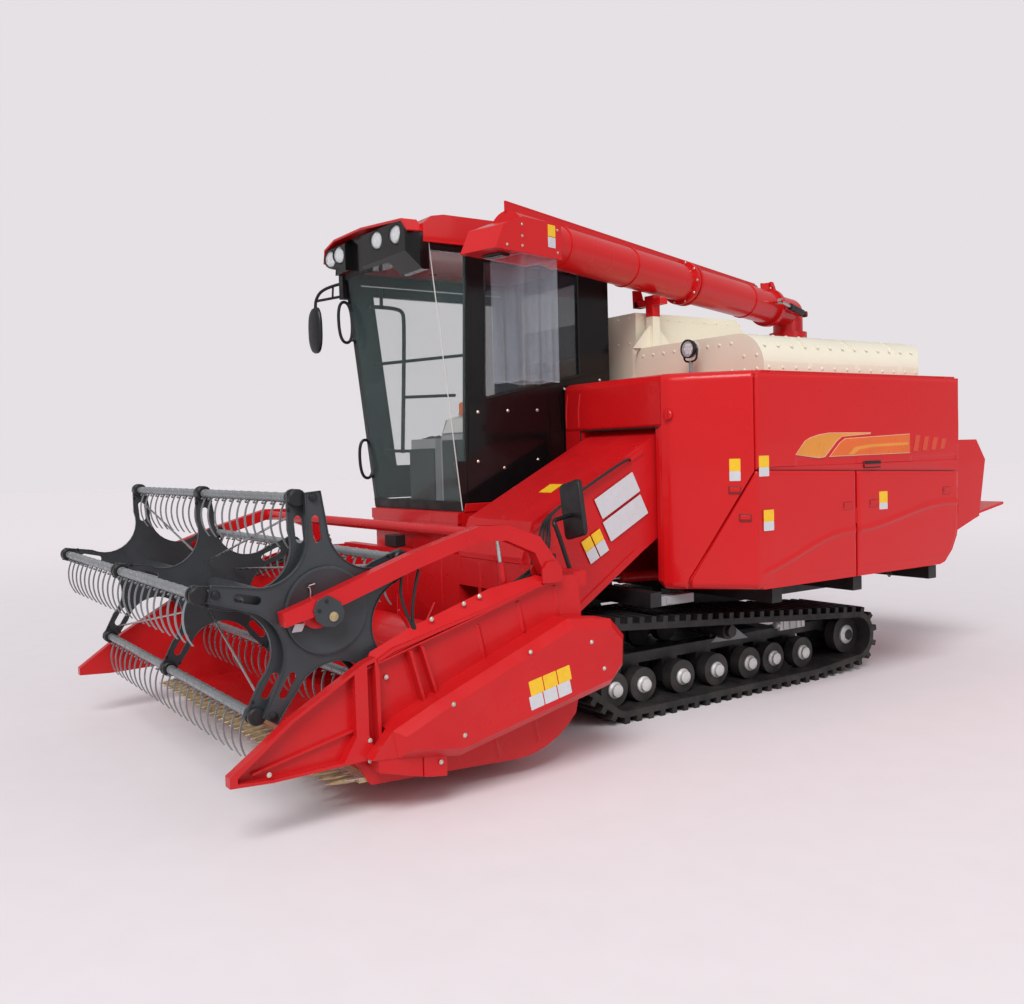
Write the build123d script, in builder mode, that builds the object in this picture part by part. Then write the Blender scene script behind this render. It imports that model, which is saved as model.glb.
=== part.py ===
from build123d import *
from math import atan2, cos, degrees, radians, sin
import os

# Tracked combine harvester, millimetres. +X is the machine's left, -Y is forward, +Z is up.
# The origin is on the ground, under the middle of the machine.

os.makedirs("parts", exist_ok=True)

# Overall places
rear_tip = 2834
sheet = 12
wall = 25
gap = 6
pin_gap = 0.3

# Running gear
track_inner_x = 365
track_width = 500
belt_thickness = 35
lug_height = 34
lug_length = 34
lug_count = 62
roller_radius = 95
roller_ground = belt_thickness + lug_height
roller_z = roller_ground + roller_radius
roller_ys = (-456, -249, 48, 320, 600, 812, 1081)
sprocket_y = -580
sprocket_z = 345
sprocket_radius = 165
sprocket_teeth = 12
idler_y = 1505
idler_z = 225
idler_radius = 121
carrier_y = 430
carrier_radius = 50
carrier_z = 378
disc_width = 70
disc_offset = 115
hub_radius = 46
beam_half = 50
beam_front = -395
fork_outer = 74
fork_plate = 28
beam_bottom = 262
beam_top = 322

# Main frame
rail_x = 280
rail_size = 80
rail_z = 450
rail_front = -700
rail_rear = 2000
outrigger_ys = (-230, 350, 1050, 1800)
outrigger_size = 80
outrigger_left = 1200
outrigger_right = -1100
deck_z = 680

hitch_half = 45
hitch_reach = 110
hitch_plate = 30
hitch_bore = 16
hitch_y = 2065

# Lift cylinders: base pin, rod-eye pin, and sizes
lug_plate = 10
lug_gap = 40
lift_x = 500
lift_base = (260, 715)
lift_eye = (-480, 735)
lift_pin = 14
lift_barrel_radius = 34
lift_rod_radius = 18
lift_barrel_length = 440
reel_lift_base = (-1440, 800)
reel_lift_eye = (-1478, 1100)
reel_lift_pin = 8
reel_lift_barrel_radius = 18
reel_lift_rod_radius = 9
reel_lift_barrel_length = 175
boom_lift_offset = 168
boom_lift_base = (60, 2440)
boom_lift_eye = (450, 2500)
boom_lift_pin = 10
boom_lift_barrel_radius = 24
boom_lift_rod_radius = 12
boom_lift_barrel_length = 240
eye_play = 3
lift_stroke = 130
reel_lift_stroke = 88
boom_lift_stroke = 84
rod_hold = 25
rod_end_play = 16
running = 0.05

# Body
body_left = 1250
body_inner = 15
body_front = -165
body_rear = 2015
body_bottom = 690
body_top = 1864
seam_front_z = 1335
seam_rear_z = 1273
door_split_y = 985
corner_facet = 60
edge_bevel = 45
door_depth = 90
knuckle_radius = 5
knuckle_z = 1030
bevel_x = 900
bevel_y = 141
cover_top = 2090
cover_front = 330
cover_rear = 1965
tank_rear = 1985

# Feeder house and its pivot
feeder_left = 800
feeder_right = 200
feeder_pivot_y = -60
feeder_pivot_z = 1180
throat_side = 14
throat_top = 1612
throat_rear = 340
trunnion_radius = 60
bearing_seat = 22

# Header
header_half = 1250
cover_depth = 150
cover_bevel = 38
end_sheet = 18
trough_y = -1430
trough_z = 490
trough_radius = 395
knife_y = -2195
knife_z = 150
divider_reach = 560
front_tip = knife_y - divider_reach
divider_width = 50
divider_sheet = 6
header_top = 900
header_rear = -1070
auger_y = -1440
auger_z = 462
auger_tube_radius = 150
auger_flight_radius = 262
guard_pitch = 76.2
guard_count = int(2 * header_half / guard_pitch)
stub_radius = 25
flight_thickness = 4
flight_pitch = 260

# Reel
reel_lift_x = header_half - 60
reel_y = -2365
reel_z = 854
reel_bar_radius = 450
reel_phase = 4.63
reel_arms_count = 5
reel_shaft_radius = 38
bar_tube_radius = 20
crank_length = 55
disc_radius = 175
plate = 8
tine_pitch = 100
tine_length = 190
tine_wire = 7
tine_count = 22
spider_waist = 185
tip_half = 34
slot_radius = 325
slot_length = 110
slot_width = 34
flank_half = 46
crank_plate = 14
crank_round = 17
pin_radius = 12
arm_x = header_half - 34
arm_width = 60
arm_pivot_y = -1245
arm_pivot_z = 930
arm_pin_radius = 20
journal_radius = 25
bearing_radius = 62
bearing_depth = 26
spider_x = arm_x - 66
spider_right_x = arm_x - 44
crank_x = arm_x - 51

# Cab
cab_left = 0
cab_right = -1085
cab_front = -915
cab_rear = 205
cab_floor_z = 1130
cab_roof_z = 2640
cab_roof_top = cab_roof_z + 160
cab_roof_front = -1085
visor_front = -1215
visor_top = 2812
roof_lamp_xs = (-975, -855, -350, -130)
roof_lamp_z = 2702
lamp_depth = 14
lamp_radius = 42
cab_wall = 40
mirror_reach = 315
glass = 6
desk_width = 195
desk_front_width = 255
door_front = -840
door_rear = 125
door_bottom = 1180
door_top = 2570
hinge_spot = (cab_right - 15, door_rear + 6)
hinge_zs = (1300, 2300)

# Unloading auger
elbow = (-280, 2235, 2470)
head = (500, -965, 2620)
boom_radius = 118
riser_radius = 110
flange_radius = 140


def prism(plane, points, depth, mode=Mode.ADD):
    with BuildSketch(plane) as section:
        with BuildLine():
            Polyline(*points, close=True)
        make_face()
    extrude(section.sketch, amount=depth, mode=mode)


def side(x):
    return Plane.YZ.offset(x)


def facing(y):
    return Plane(origin=(0, y, 0), x_dir=(1, 0, 0), z_dir=(0, -1, 0))


def level(z):
    return Plane.XY.offset(z)


def block(low, high, mode=Mode.ADD):
    centre = [(low[i] + high[i]) / 2 for i in range(3)]
    with Locations(tuple(centre)):
        Box(*[high[i] - low[i] for i in range(3)], mode=mode)


def rod(start, end, radius, mode=Mode.ADD):
    run = Vector(*end) - Vector(*start)
    with BuildSketch(Plane(origin=start, z_dir=run)) as section:
        Circle(radius)
    extrude(section.sketch, amount=run.length, mode=mode)


def disc_x(centre, radius, x0, x1, mode=Mode.ADD):
    rod((x0, centre[0], centre[1]), (x1, centre[0], centre[1]), radius, mode=mode)


def save(builder, name):
    builder.part.label = name
    export_step(builder.part, f"parts/{name}.step")


# Running gear: the belt is the hull of its wheels, with a lug bar at each pitch
belt_wheels = [(sprocket_y, sprocket_z, sprocket_radius), (idler_y, idler_z, idler_radius)]
belt_wheels += [(y, roller_z, roller_radius) for y in (roller_ys[0], roller_ys[-1])]


def belt_outline(plane, extra):
    with BuildSketch(plane) as outline:
        for y, z, radius in belt_wheels:
            with Locations((y, z)):
                Circle(radius + extra)
        make_hull()
    return outline.sketch


def build_track(x0, name):
    with BuildPart() as track:
        belt = belt_outline(Plane.XY, belt_thickness)
        path = belt.faces()[0].outer_wire()
        with BuildSketch(side(x0)) as section:
            add(belt)
            for i in range(lug_count):
                spot = path.location_at(i / lug_count)
                heading = path.tangent_at(i / lug_count)
                turn = degrees(atan2(heading.Y, heading.X))
                with Locations(Location((spot.position.X, spot.position.Y, 0), (0, 0, turn))):
                    Rectangle(lug_length, 2 * lug_height)
            add(belt_outline(Plane.XY, 0), mode=Mode.SUBTRACT)
        extrude(amount=track_width)
    save(track, name)


build_track(track_inner_x, "track_left")
build_track(-track_inner_x - track_width, "track_right")

track_centre_x = track_inner_x + track_width / 2
roller_half = disc_offset + disc_width / 2

with BuildPart() as track_wheels:
    for side_sign in (1, -1):
        centre_x = side_sign * track_centre_x
        wheel_table = [(y, roller_z, roller_radius - 1) for y in roller_ys]
        wheel_table += [(idler_y, idler_z, idler_radius - 1), (carrier_y, carrier_z, carrier_radius)]
        for y, z, radius in wheel_table:
            disc_x((y, z), min(hub_radius, radius - 8), centre_x - roller_half, centre_x + roller_half)
            for offset_x in (-disc_offset, disc_offset):
                low_x = centre_x + offset_x - disc_width / 2
                disc_x((y, z), radius, low_x, low_x + disc_width)
            outer = centre_x + side_sign * roller_half
            disc_x((y, z), min(34, radius - 12), outer, outer + side_sign * 28)
save(track_wheels, "track_wheels")

with BuildPart() as drive_sprockets:
    for side_sign in (1, -1):
        centre_x = side_sign * track_centre_x
        with BuildSketch(side(centre_x - 40)) as section:
            with Locations((sprocket_y, sprocket_z)):
                Circle(sprocket_radius - 38)
                with PolarLocations(sprocket_radius - 38, sprocket_teeth):
                    Rectangle(70, 40)
                Circle(60, mode=Mode.SUBTRACT)
        extrude(section.sketch, amount=80)
        inner = centre_x - side_sign * 40
        disc_x((sprocket_y, sprocket_z), 105, inner, inner - side_sign * 90)
        disc_x((sprocket_y, sprocket_z), 80, centre_x - 41, centre_x + 41)
save(drive_sprockets, "drive_sprockets")

with BuildPart() as track_frames:
    for side_sign in (1, -1):
        centre_x = side_sign * track_centre_x
        low_x = centre_x - beam_half
        beam = [
            (beam_front, beam_bottom),
            (idler_y - 150, beam_bottom),
            (idler_y + 62, idler_z - 62),
            (idler_y + 62, idler_z + 62),
            (idler_y - 130, beam_top),
            (beam_front, beam_top),
        ]
        prism(side(low_x), beam, 2 * beam_half)
        for fork_x in (centre_x - fork_outer, centre_x + fork_outer - fork_plate):
            fork = [(beam_front + 60, beam_top), (beam_front, beam_top), (roller_ys[0] - 70, roller_z + 20),
                    (roller_ys[0] - 60, roller_z - 62), (roller_ys[0] + 60, roller_z - 62),
                    (beam_front + 60, beam_bottom)]
            prism(side(fork_x), fork, fork_plate)
        for y in roller_ys[1:]:
            hanger = [(y - 60, beam_bottom), (y + 60, beam_bottom), (y + 55, roller_z - 40)]
            hanger += [(y + 25, roller_z - 62), (y - 25, roller_z - 62), (y - 55, roller_z - 40)]
            prism(side(centre_x - 45), hanger, 90)
        block((centre_x - 30, carrier_y - 35, beam_top - 10), (centre_x + 30, carrier_y + 35, carrier_z))
        for y, z in [(y, roller_z) for y in roller_ys] + [(idler_y, idler_z)]:
            disc_x((y, z), hub_radius, centre_x - fork_outer - 1, centre_x + fork_outer + 1, mode=Mode.SUBTRACT)
        disc_x((carrier_y, carrier_z), carrier_radius - 8, low_x, centre_x + 50, mode=Mode.SUBTRACT)
        for y in (-150, 950):
            inner_x = side_sign * (rail_x + rail_size / 2)
            block_x = sorted((inner_x - side_sign * rail_size, low_x if side_sign > 0 else centre_x + beam_half))
            block((block_x[0], y - 50, beam_bottom), (block_x[1], y + 50, beam_top))
            post_x = sorted((inner_x, inner_x - side_sign * rail_size))
            block((post_x[0], y - 50, beam_top), (post_x[1], y + 50, rail_z))
save(track_frames, "track_frames")

# Main frame: two rails, cross members, and outriggers over the tracks on short posts
with BuildPart() as main_frame:
    half = rail_size / 2
    for x in (-rail_x, rail_x):
        block((x - half, rail_front, rail_z), (x + half, rail_rear, rail_z + rail_size))
    for y in (-340, rail_rear - 40):
        block((-rail_x, y - 40, rail_z), (rail_x, y + 40, rail_z + rail_size))
    for y in outrigger_ys:
        left_end = 860 if y < body_front else outrigger_left
        block((outrigger_right, y - half, deck_z - outrigger_size), (left_end, y + half, deck_z))
        for x in (-rail_x, rail_x):
            block((x - half, y - half, rail_z + rail_size), (x + half, y + half, deck_z - outrigger_size))
    block((outrigger_right, -460, deck_z - outrigger_size), (-rail_x + half, -400, deck_z))
    block((-rail_x - half, -460, rail_z + rail_size), (-rail_x + half, -400, deck_z - outrigger_size))
    for x in (body_inner + 40, 1000):
        block((x, outrigger_ys[1] - half, deck_z), (x + 60, outrigger_ys[3] + half, body_bottom))
    for x in (cab_right, cab_left - wall):
        block((x, outrigger_ys[0] - half, deck_z), (x + wall, outrigger_ys[0] + half, body_bottom))
    block((-hitch_half, rail_rear, rail_z), (hitch_half, rail_rear + hitch_reach, rail_z + hitch_plate))
    rod((0, hitch_y, rail_z - 1), (0, hitch_y, rail_z + hitch_plate + 1), hitch_bore, mode=Mode.SUBTRACT)
    for x in (lift_x - lug_gap / 2 - lug_plate, lift_x + lug_gap / 2):
        outline = [(250, deck_z - outrigger_size), (outrigger_ys[1] - half, deck_z - outrigger_size),
                   (outrigger_ys[1] - half, deck_z), (lift_base[0] + 30, lift_base[1] + 30),
                   (lift_base[0] - 30, lift_base[1] + 30), (lift_base[0] - 30, lift_base[1] - 30)]
        prism(side(x), outline, lug_plate)
    disc_x(lift_base, lift_pin, lift_x - lug_gap / 2 - lug_plate - 8, lift_x + lug_gap / 2 + lug_plate + 8)
save(main_frame, "main_frame")

with BuildPart() as transmission:
    case = [(sprocket_y - 105, 250), (sprocket_y + 110, 240), (sprocket_y + 170, 320), (sprocket_y + 160, 520),
            (sprocket_y + 90, 570), (sprocket_y - 60, 570), (sprocket_y - 125, 480)]
    prism(side(-170), case, 340)
    for side_sign in (1, -1):
        housing_end = side_sign * (track_centre_x - 40 - 90 - pin_gap)
        disc_x((sprocket_y, sprocket_z), 62, side_sign * 165, housing_end)
        disc_x((sprocket_y, sprocket_z), 95, housing_end - side_sign * 40, housing_end)
    block((-rail_x + half, sprocket_y - 20, rail_z + 10), (rail_x - half, sprocket_y + 60, rail_z + 60))
save(transmission, "transmission")

with BuildPart() as engine_block:
    block((-830, -480, deck_z), (-270, 110, 1380))
save(engine_block, "engine_block")

# Cab base: the red shell under the cab floor, over the engine, with a louvred right side
with BuildPart() as cab_base:
    block((cab_right, cab_front, body_bottom), (cab_left, cab_rear, cab_floor_z))
    block((cab_right + wall, cab_front + wall, body_bottom - 1), (cab_left - wall, cab_rear - wall, cab_floor_z - wall),
          mode=Mode.SUBTRACT)
    block((-860, -520, cab_floor_z - wall), (-240, cab_rear - cab_wall, 1450))
    block((-840, -500, cab_floor_z - wall - 1), (-260, cab_rear - cab_wall - 20, 1430), mode=Mode.SUBTRACT)
    for i in range(11):
        z = 760 + 30 * i
        block((cab_right - 1, -620, z), (cab_right + wall + 1, 60, z + 14), mode=Mode.SUBTRACT)
    prism(facing(cab_front), [(cab_right + 40, 985), (cab_left - 20, 1000), (cab_left, 1112), (cab_right, 1112)], 30)
save(cab_base, "cab_base")

# Thresher body: a closed housing under a shell that is cut into cowl, upper panel and two doors
def inset_outline(points, insets):
    """Move each edge of an anticlockwise outline inward by its own inset."""
    lines = []
    for i, inset in enumerate(insets):
        start, end = Vector(*points[i]), Vector(*points[(i + 1) % len(points)])
        along = (end - start).normalized()
        lines.append((start + Vector(-along.Y, along.X) * inset, along))
    corners = []
    for i, (start, along) in enumerate(lines):
        before, run = lines[i - 1]
        shift = start - before
        reach = (shift.X * along.Y - shift.Y * along.X) / (run.X * along.Y - run.Y * along.X)
        corner = before + run * reach
        corners.append((corner.X, corner.Y))
    return corners


housing_plan = [(body_inner, body_front), (bevel_x - corner_facet, body_front), (bevel_x + corner_facet / 2, body_front + corner_facet / 2),
                (body_left, bevel_y), (body_left, body_rear), (body_inner, body_rear)]
bevelled_edges = 3


def housing(inset):
    """The housing with its walls set in, its front edges bevelled, in the current part."""
    walls = [inset, inset, inset, inset, 0, 0]
    with BuildPart(mode=Mode.PRIVATE) as solid:
        prism(level(body_bottom), inset_outline(housing_plan, walls), body_top - body_bottom)
        for i in range(bevelled_edges):
            start = Vector(*housing_plan[i])
            along = (Vector(*housing_plan[i + 1]) - start).normalized()
            for height, up in ((body_top, 1), (body_bottom, -1)):
                normal = Vector(along.Y, -along.X, up).normalized()
                spot = Vector(start.X, start.Y, height) - normal * (edge_bevel / 2 ** 0.5 + inset)
                split(bisect_by=Plane(origin=spot, z_dir=normal), keep=Keep.BOTTOM)
    add(solid.part)


def seam_z(y):
    return seam_front_z + (seam_rear_z - seam_front_z) * (y - bevel_y) / (body_rear - bevel_y)


def cut_rear_corner():
    outline = [(1800, body_bottom - 1), (1800, body_bottom), (1860, body_bottom + 15), (1940, body_bottom + 85),
               (1990, body_bottom + 170), (body_rear + 1, body_bottom + 262), (body_rear + 1, body_bottom - 1)]
    prism(side(body_inner - 1), outline, body_left - body_inner + 2, mode=Mode.SUBTRACT)


def cut_throat():
    block((feeder_right - throat_side, body_front - 1, body_bottom - 1),
          (feeder_left + throat_side, throat_rear, throat_top), mode=Mode.SUBTRACT)
    for x0, x1 in ((feeder_right - throat_side - bearing_seat, feeder_right), (feeder_left, feeder_left + throat_side + bearing_seat)):
        disc_x((feeder_pivot_y, feeder_pivot_z), trunnion_radius + running, x0, x1, mode=Mode.SUBTRACT)


def build_panel(outline, inner_x, thickness, name, extra):
    """One panel of the shell: what lies inside an outline seen from the left, out from inner_x."""
    with BuildPart() as panel:
        housing(0)
        with BuildPart(mode=Mode.PRIVATE) as core:
            housing(thickness)
        add(core.part, mode=Mode.SUBTRACT)
        prism(side(inner_x), outline, body_left - inner_x, mode=Mode.INTERSECT)
        extra()
    save(panel, name)


with BuildPart() as thresher_body:
    housing(wall)
    cut_throat()
    cut_rear_corner()
    recess_x = body_left - wall - door_depth
    block((recess_x, bevel_y + 60, body_bottom + 50), (body_left, body_rear - 60, seam_rear_z - 40),
          mode=Mode.SUBTRACT)
    pulleys = ((420, 950, 170), (800, 1080, 90), (1180, 900, 130), (1650, 1010, 150))
    for y, z, radius in pulleys:
        disc_x((y, z), radius, recess_x - 1, recess_x + 45)
        disc_x((y, z), radius + 12, recess_x + 12, recess_x + 18)
    for y in (door_split_y - gap / 2, body_rear - 2):
        rod((body_left - 4, y, knuckle_z), (body_left - 4, y, knuckle_z + 30), knuckle_radius)
        block((body_left - wall - 1, y - 6, knuckle_z), (body_left - 4, y + 6, knuckle_z + 30))
save(thresher_body, "thresher_body")

seam_low = (-95, body_bottom)
cowl_outline = [(body_front - 1, body_bottom - 1), (seam_low[0], body_bottom - 1), (seam_low[0], body_bottom + 60),
                (bevel_y - gap, seam_front_z), (bevel_y - gap, body_top + 1), (body_front - 1, body_top + 1)]
build_panel(cowl_outline, body_inner, wall, "front_cowl", cut_throat)

upper_outline = [(bevel_y, seam_z(bevel_y)), (body_rear, seam_z(body_rear)), (body_rear, body_top - 12),
                 (bevel_y, body_top - 12)]


def upper_handle():
    block((body_left - 1, 1045, 1322), (body_left + 14, 1195, 1350))
    rod((body_left - 4, bevel_y + 120, body_top - 8), (body_left - 4, bevel_y + 160, body_top - 8), 6)
    rod((body_left - 4, body_rear - 160, body_top - 8), (body_left - 4, body_rear - 120, body_top - 8), 6)


build_panel(upper_outline, body_left - wall, wall - pin_gap, "side_panel", upper_handle)


def build_side_door(outline, latch_ys, hinge_y, name):
    def latches():
        cut_rear_corner()
        for y in latch_ys:
            block((body_left - 4, y - 26, seam_z(y) - 62), (body_left + 1, y + 26, seam_z(y) - 46), mode=Mode.SUBTRACT)
        for z0 in (knuckle_z - 30, knuckle_z + 31):
            rod((body_left - 4, hinge_y, z0), (body_left - 4, hinge_y, z0 + 28), knuckle_radius)
            block((body_left - wall + 2, hinge_y - 40, z0), (body_left - 4, hinge_y - 6, z0 + 28))
            block((body_left - 14, hinge_y - 12, z0), (body_left - 4, hinge_y, z0 + 28))
    build_panel(outline, bevel_x, wall - pin_gap, name, latches)


split_front = door_split_y - gap / 2 - 10
split_rear = door_split_y + gap / 2
front_door = [(seam_low[0] + gap, body_bottom + 2), (split_front, body_bottom + 2),
              (split_front, seam_z(split_front) - gap), (bevel_y + 10, seam_z(bevel_y) - gap),
              (seam_low[0] + gap, body_bottom + 60)]
rear_door = [(split_rear, body_bottom + 2), (body_rear - 12, body_bottom + 2), (body_rear - 12, seam_z(body_rear) - gap),
             (split_rear, seam_z(split_rear) - gap)]
build_side_door(front_door, (190, 905), door_split_y - gap / 2, "side_door_front")
build_side_door(rear_door, (1065, 1925), body_rear - 2, "side_door_rear")

with BuildPart() as thresher_cover:
    with BuildSketch(facing(cover_rear)) as section:
        with BuildLine():
            Polyline((110, body_top), (110, cover_top - 60))
            ThreePointArc((110, cover_top - 60), (128, cover_top - 18), (170, cover_top))
            Line((170, cover_top), (940, cover_top))
            ThreePointArc((940, cover_top), (1085, cover_top - 48), (1150, cover_top - 170))
            Line((1150, cover_top - 170), (1150, body_top))
            Line((1150, body_top), (110, body_top))
        make_face()
    extrude(section.sketch, amount=cover_rear - cover_front)
    for corner in ([(1001, cover_rear + 1), (1151, cover_rear - 220), (1151, cover_rear + 1)],
                   [(109, cover_rear - 80), (109, cover_rear + 1), (200, cover_rear + 1)]):
        prism(level(body_top - 1), corner, cover_top - body_top + 2, mode=Mode.SUBTRACT)
    prism(side(109), [(cover_rear + 1, cover_top - 110), (cover_rear + 1, cover_top + 1), (cover_rear - 190, cover_top + 1),
                      (cover_rear - 60, cover_top - 45)], 1042, mode=Mode.SUBTRACT)
save(thresher_cover, "thresher_cover")

with BuildPart() as grain_tank:
    block((-1150, 345, deck_z), (body_inner - 1, tank_rear, 1900))
    with BuildSketch(level(1900)) as foot:
        with Locations((-520, 1020)):
            RectangleRounded(1230, 1350, 40)
    extrude(foot.sketch, amount=200)
save(grain_tank, "grain_tank")

with BuildPart() as tank_top:
    prism(side(-1120), [(345, 2100), (1335, 2100), (1335, 2230), (1250, 2320), (345, 2320)], 1220)
    for y in (560, 860):
        block((99, y, 2150), (101, y + 220, 2280), mode=Mode.SUBTRACT)
save(tank_top, "tank_top")

with BuildPart() as straw_chute:
    outline = [(body_rear, 1466), (2470, 1466), (2575, 1330), (2500, 950), (2430, 930), (body_rear, 800)]
    prism(side(110), outline, 990)
    inner = [(body_rear - 1, 1441), (2458, 1441), (2548, 1325), (2468, 900), (body_rear - 1, 760)]
    prism(side(135), inner, 940, mode=Mode.SUBTRACT)
    prism(side(130), [(2480, 955), (2500, 975), (rear_tip, 1030), (rear_tip, 1012)], 950)
save(straw_chute, "straw_chute")

# Cab
cab_slope = (cab_roof_front - cab_front) / (cab_roof_z - cab_floor_z)


def screen_y(z):
    return cab_front + cab_slope * (z - cab_floor_z)


def screen_slab(low, high, start, end):
    """The windscreen's section, seen from the left, between two heights."""
    return [(screen_y(low) + start, low), (screen_y(low) + end, low), (screen_y(high) + end, high), (screen_y(high) + start, high)]


quarter_sill = 1418
quarter_top = 2600
pillar_front = ((-874, 1550), (-837, 2603))
window_outline = [(-748, 1805), (-728, 1776), (-30, 1925), (-30, 2560), (-722, 2560)]


def pillar_y(z):
    low, high = pillar_front
    return low[0] + (z - low[1]) * (high[0] - low[0]) / (high[1] - low[1])


def shrunk(outline, amount):
    """An outline drawn in towards its middle, for a pane that fits its opening."""
    middle = (sum(p[0] for p in outline) / len(outline), sum(p[1] for p in outline) / len(outline))
    return [(p[0] + amount * (1 if p[0] < middle[0] else -1), p[1] + amount * (1 if p[1] < middle[1] else -1))
            for p in outline]


quarter_outline = [(screen_y(quarter_sill) + glass + 1, quarter_sill), (pillar_y(quarter_sill), quarter_sill),
                   (pillar_y(quarter_top), quarter_top), (screen_y(quarter_top) + glass + 1, quarter_top)]

with BuildPart() as cab_frame:
    outer = [(cab_front, cab_floor_z), (cab_rear, cab_floor_z), (cab_rear, cab_roof_z), (cab_roof_front, cab_roof_z)]
    prism(side(cab_right), outer, cab_left - cab_right)
    inner = [(cab_front - 100, cab_floor_z - 1), (cab_rear - cab_wall, cab_floor_z - 1),
             (cab_rear - cab_wall, cab_roof_z + 1), (cab_roof_front - 100, cab_roof_z + 1)]
    prism(side(cab_right + cab_wall), inner, cab_left - cab_right - 2 * cab_wall, mode=Mode.SUBTRACT)
    pillar_x = cab_left - cab_wall
    prism(side(pillar_x - 1), window_outline, cab_wall + 2, mode=Mode.SUBTRACT)
    quarter_hole = [(quarter_outline[0][0] - 60, quarter_sill), *quarter_outline[1:3], (quarter_outline[3][0] - 60, quarter_top)]
    prism(side(pillar_x - 1), quarter_hole, cab_wall + 2, mode=Mode.SUBTRACT)
    prism(side(pillar_x - 1), screen_slab(cab_floor_z - 1, cab_roof_z + 1, -1, glass + pin_gap), cab_wall + 2, mode=Mode.SUBTRACT)
    door_hole = [(door_front, door_bottom), (door_rear, door_bottom), (door_rear, door_top), (screen_y(door_top) + 90, door_top)]
    prism(side(cab_right - 1), door_hole, cab_wall + 2, mode=Mode.SUBTRACT)
    block((cab_right + 150, cab_rear - cab_wall - 1, 1900), (cab_left - 150, cab_rear + 1, 2540), mode=Mode.SUBTRACT)
    for z in hinge_zs:
        rod((*hinge_spot, z - 34), (*hinge_spot, z), 12)
        rod((*hinge_spot, z - 1), (*hinge_spot, z + 32), 6)
        block((hinge_spot[0], hinge_spot[1], z - 34), (cab_right + 1, hinge_spot[1] + 12, z))
save(cab_frame, "cab_frame")

with BuildPart() as cab_roof:
    outline = [(-1125, cab_roof_z), (cab_rear + 15, cab_roof_z), (cab_rear + 15, 2740), (cab_rear - 60, 2790),
               (cab_rear - 120, cab_roof_top), (-990, cab_roof_top), (-1070, 2785), (-1125, 2740)]
    prism(side(cab_right - 15), outline, cab_left - cab_right + 30)
save(cab_roof, "cab_roof")

with BuildPart() as cab_glass:
    screen_x = cab_right + cab_wall + pin_gap
    prism(side(screen_x), screen_slab(cab_floor_z + 5, cab_roof_z - 0.3, 0, glass), cab_left - screen_x)
    for pane in (window_outline, quarter_outline):
        prism(side(cab_left - 20), shrunk(pane, pin_gap), glass)
    block((cab_right + 150 + pin_gap, cab_rear - 20, 1900 + pin_gap),
          (cab_left - 150 - pin_gap, cab_rear - 20 + glass, 2540 - pin_gap))
save(cab_glass, "cab_glass")

door_outline = [(door_front + gap, door_bottom + gap), (door_rear - gap, door_bottom + gap),
                (door_rear - gap, door_top - gap), (screen_y(door_top) + 90 + gap, door_top - gap)]
with BuildPart() as cab_door:
    prism(side(cab_right), door_outline, 30)
    inset = 70
    window = [(door_front + inset + gap, 1400), (door_rear - inset, 1400), (door_rear - inset, door_top - inset),
              (screen_y(door_top) + 90 + gap + inset + 15, door_top - inset)]
    prism(side(cab_right - 1), window, 32, mode=Mode.SUBTRACT)
    rail_ends = ((-822, 1500), (-906, 2300))
    for y, z in rail_ends:
        rod((cab_right - 45, y, z), (cab_right + 10, y, z), 10)
    rod((cab_right - 45, *rail_ends[0]), (cab_right - 45, *rail_ends[1]), 11)
    for z in hinge_zs:
        rod((*hinge_spot, z + pin_gap), (*hinge_spot, z + 34), 12)
        block((hinge_spot[0] - 6, door_rear - 30, z + pin_gap), (cab_right + 5, door_rear - gap, z + 34))
        block((hinge_spot[0] - 6, door_rear - 30, z + pin_gap), (cab_right - pin_gap, hinge_spot[1], z + 34))
        rod((*hinge_spot, z), (*hinge_spot, z + 35), 6 + running, mode=Mode.SUBTRACT)
save(cab_door, "cab_door")

with BuildPart() as cab_door_glass:
    pane = [(door_front + inset + gap + 0.3, 1400.3), (door_rear - inset - 0.3, 1400.3),
            (door_rear - inset - 0.3, door_top - inset - 0.3), (screen_y(door_top) + 90 + gap + inset + 15.5, door_top - inset - 0.3)]
    prism(side(cab_right + 12), pane, glass)
save(cab_door_glass, "cab_door_glass")

with BuildPart() as lamp_visor:
    profile = [(-1090, 2480), (-1130, 2480), (visor_front, 2590), (visor_front, 2768), (-1150, visor_top),
               (-1125, visor_top), (-1125, cab_roof_z), (-1090, cab_roof_z)]
    prism(side(cab_right - 10), profile, cab_left - cab_right + 22)
    face = [(-1095, 2690), (-1075, 2775), (-930, visor_top), (-560, visor_top), (-60, 2765), (12, 2690), (12, 2490),
            (-230, 2490), (-260, 2565), (-580, 2573), (-722, 2590), (-928, 2640)]
    prism(facing(-1090), face, -visor_front - 1090, mode=Mode.INTERSECT)
    block((-790, visor_front - 1, 2540), (-565, visor_front + 45, 2840), mode=Mode.SUBTRACT)
    for corner, sign in ((cab_right - 10, 1), (cab_left + 12, -1)):
        wedge = [(corner - sign, visor_front - 1), (corner + sign * 45, visor_front - 1), (corner - sign, -1145)]
        prism(level(2400), wedge, 500, mode=Mode.SUBTRACT)
    for x in roof_lamp_xs:
        lamp_y = visor_front + lamp_depth
        rod((x, visor_front - 1, roof_lamp_z), (x, lamp_y, roof_lamp_z), lamp_radius + 2, mode=Mode.SUBTRACT)
save(lamp_visor, "lamp_visor")

with BuildPart() as work_lamps:
    for x in roof_lamp_xs:
        rod((x, visor_front + lamp_depth, roof_lamp_z), (x, visor_front - 6, roof_lamp_z), lamp_radius)
    rod((700, 225, body_top), (700, 225, 1990), 12)
    rod((700, 200, 2027), (700, 250, 2027), 48)
save(work_lamps, "work_lamps")

with BuildPart() as seat_pads:
    block((-790, -420, 1450.3), (-330, 60, 1540))
    block((-780, 60.5, 1470), (-340, 130, 2080))
save(seat_pads, "seat_pads")

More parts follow.
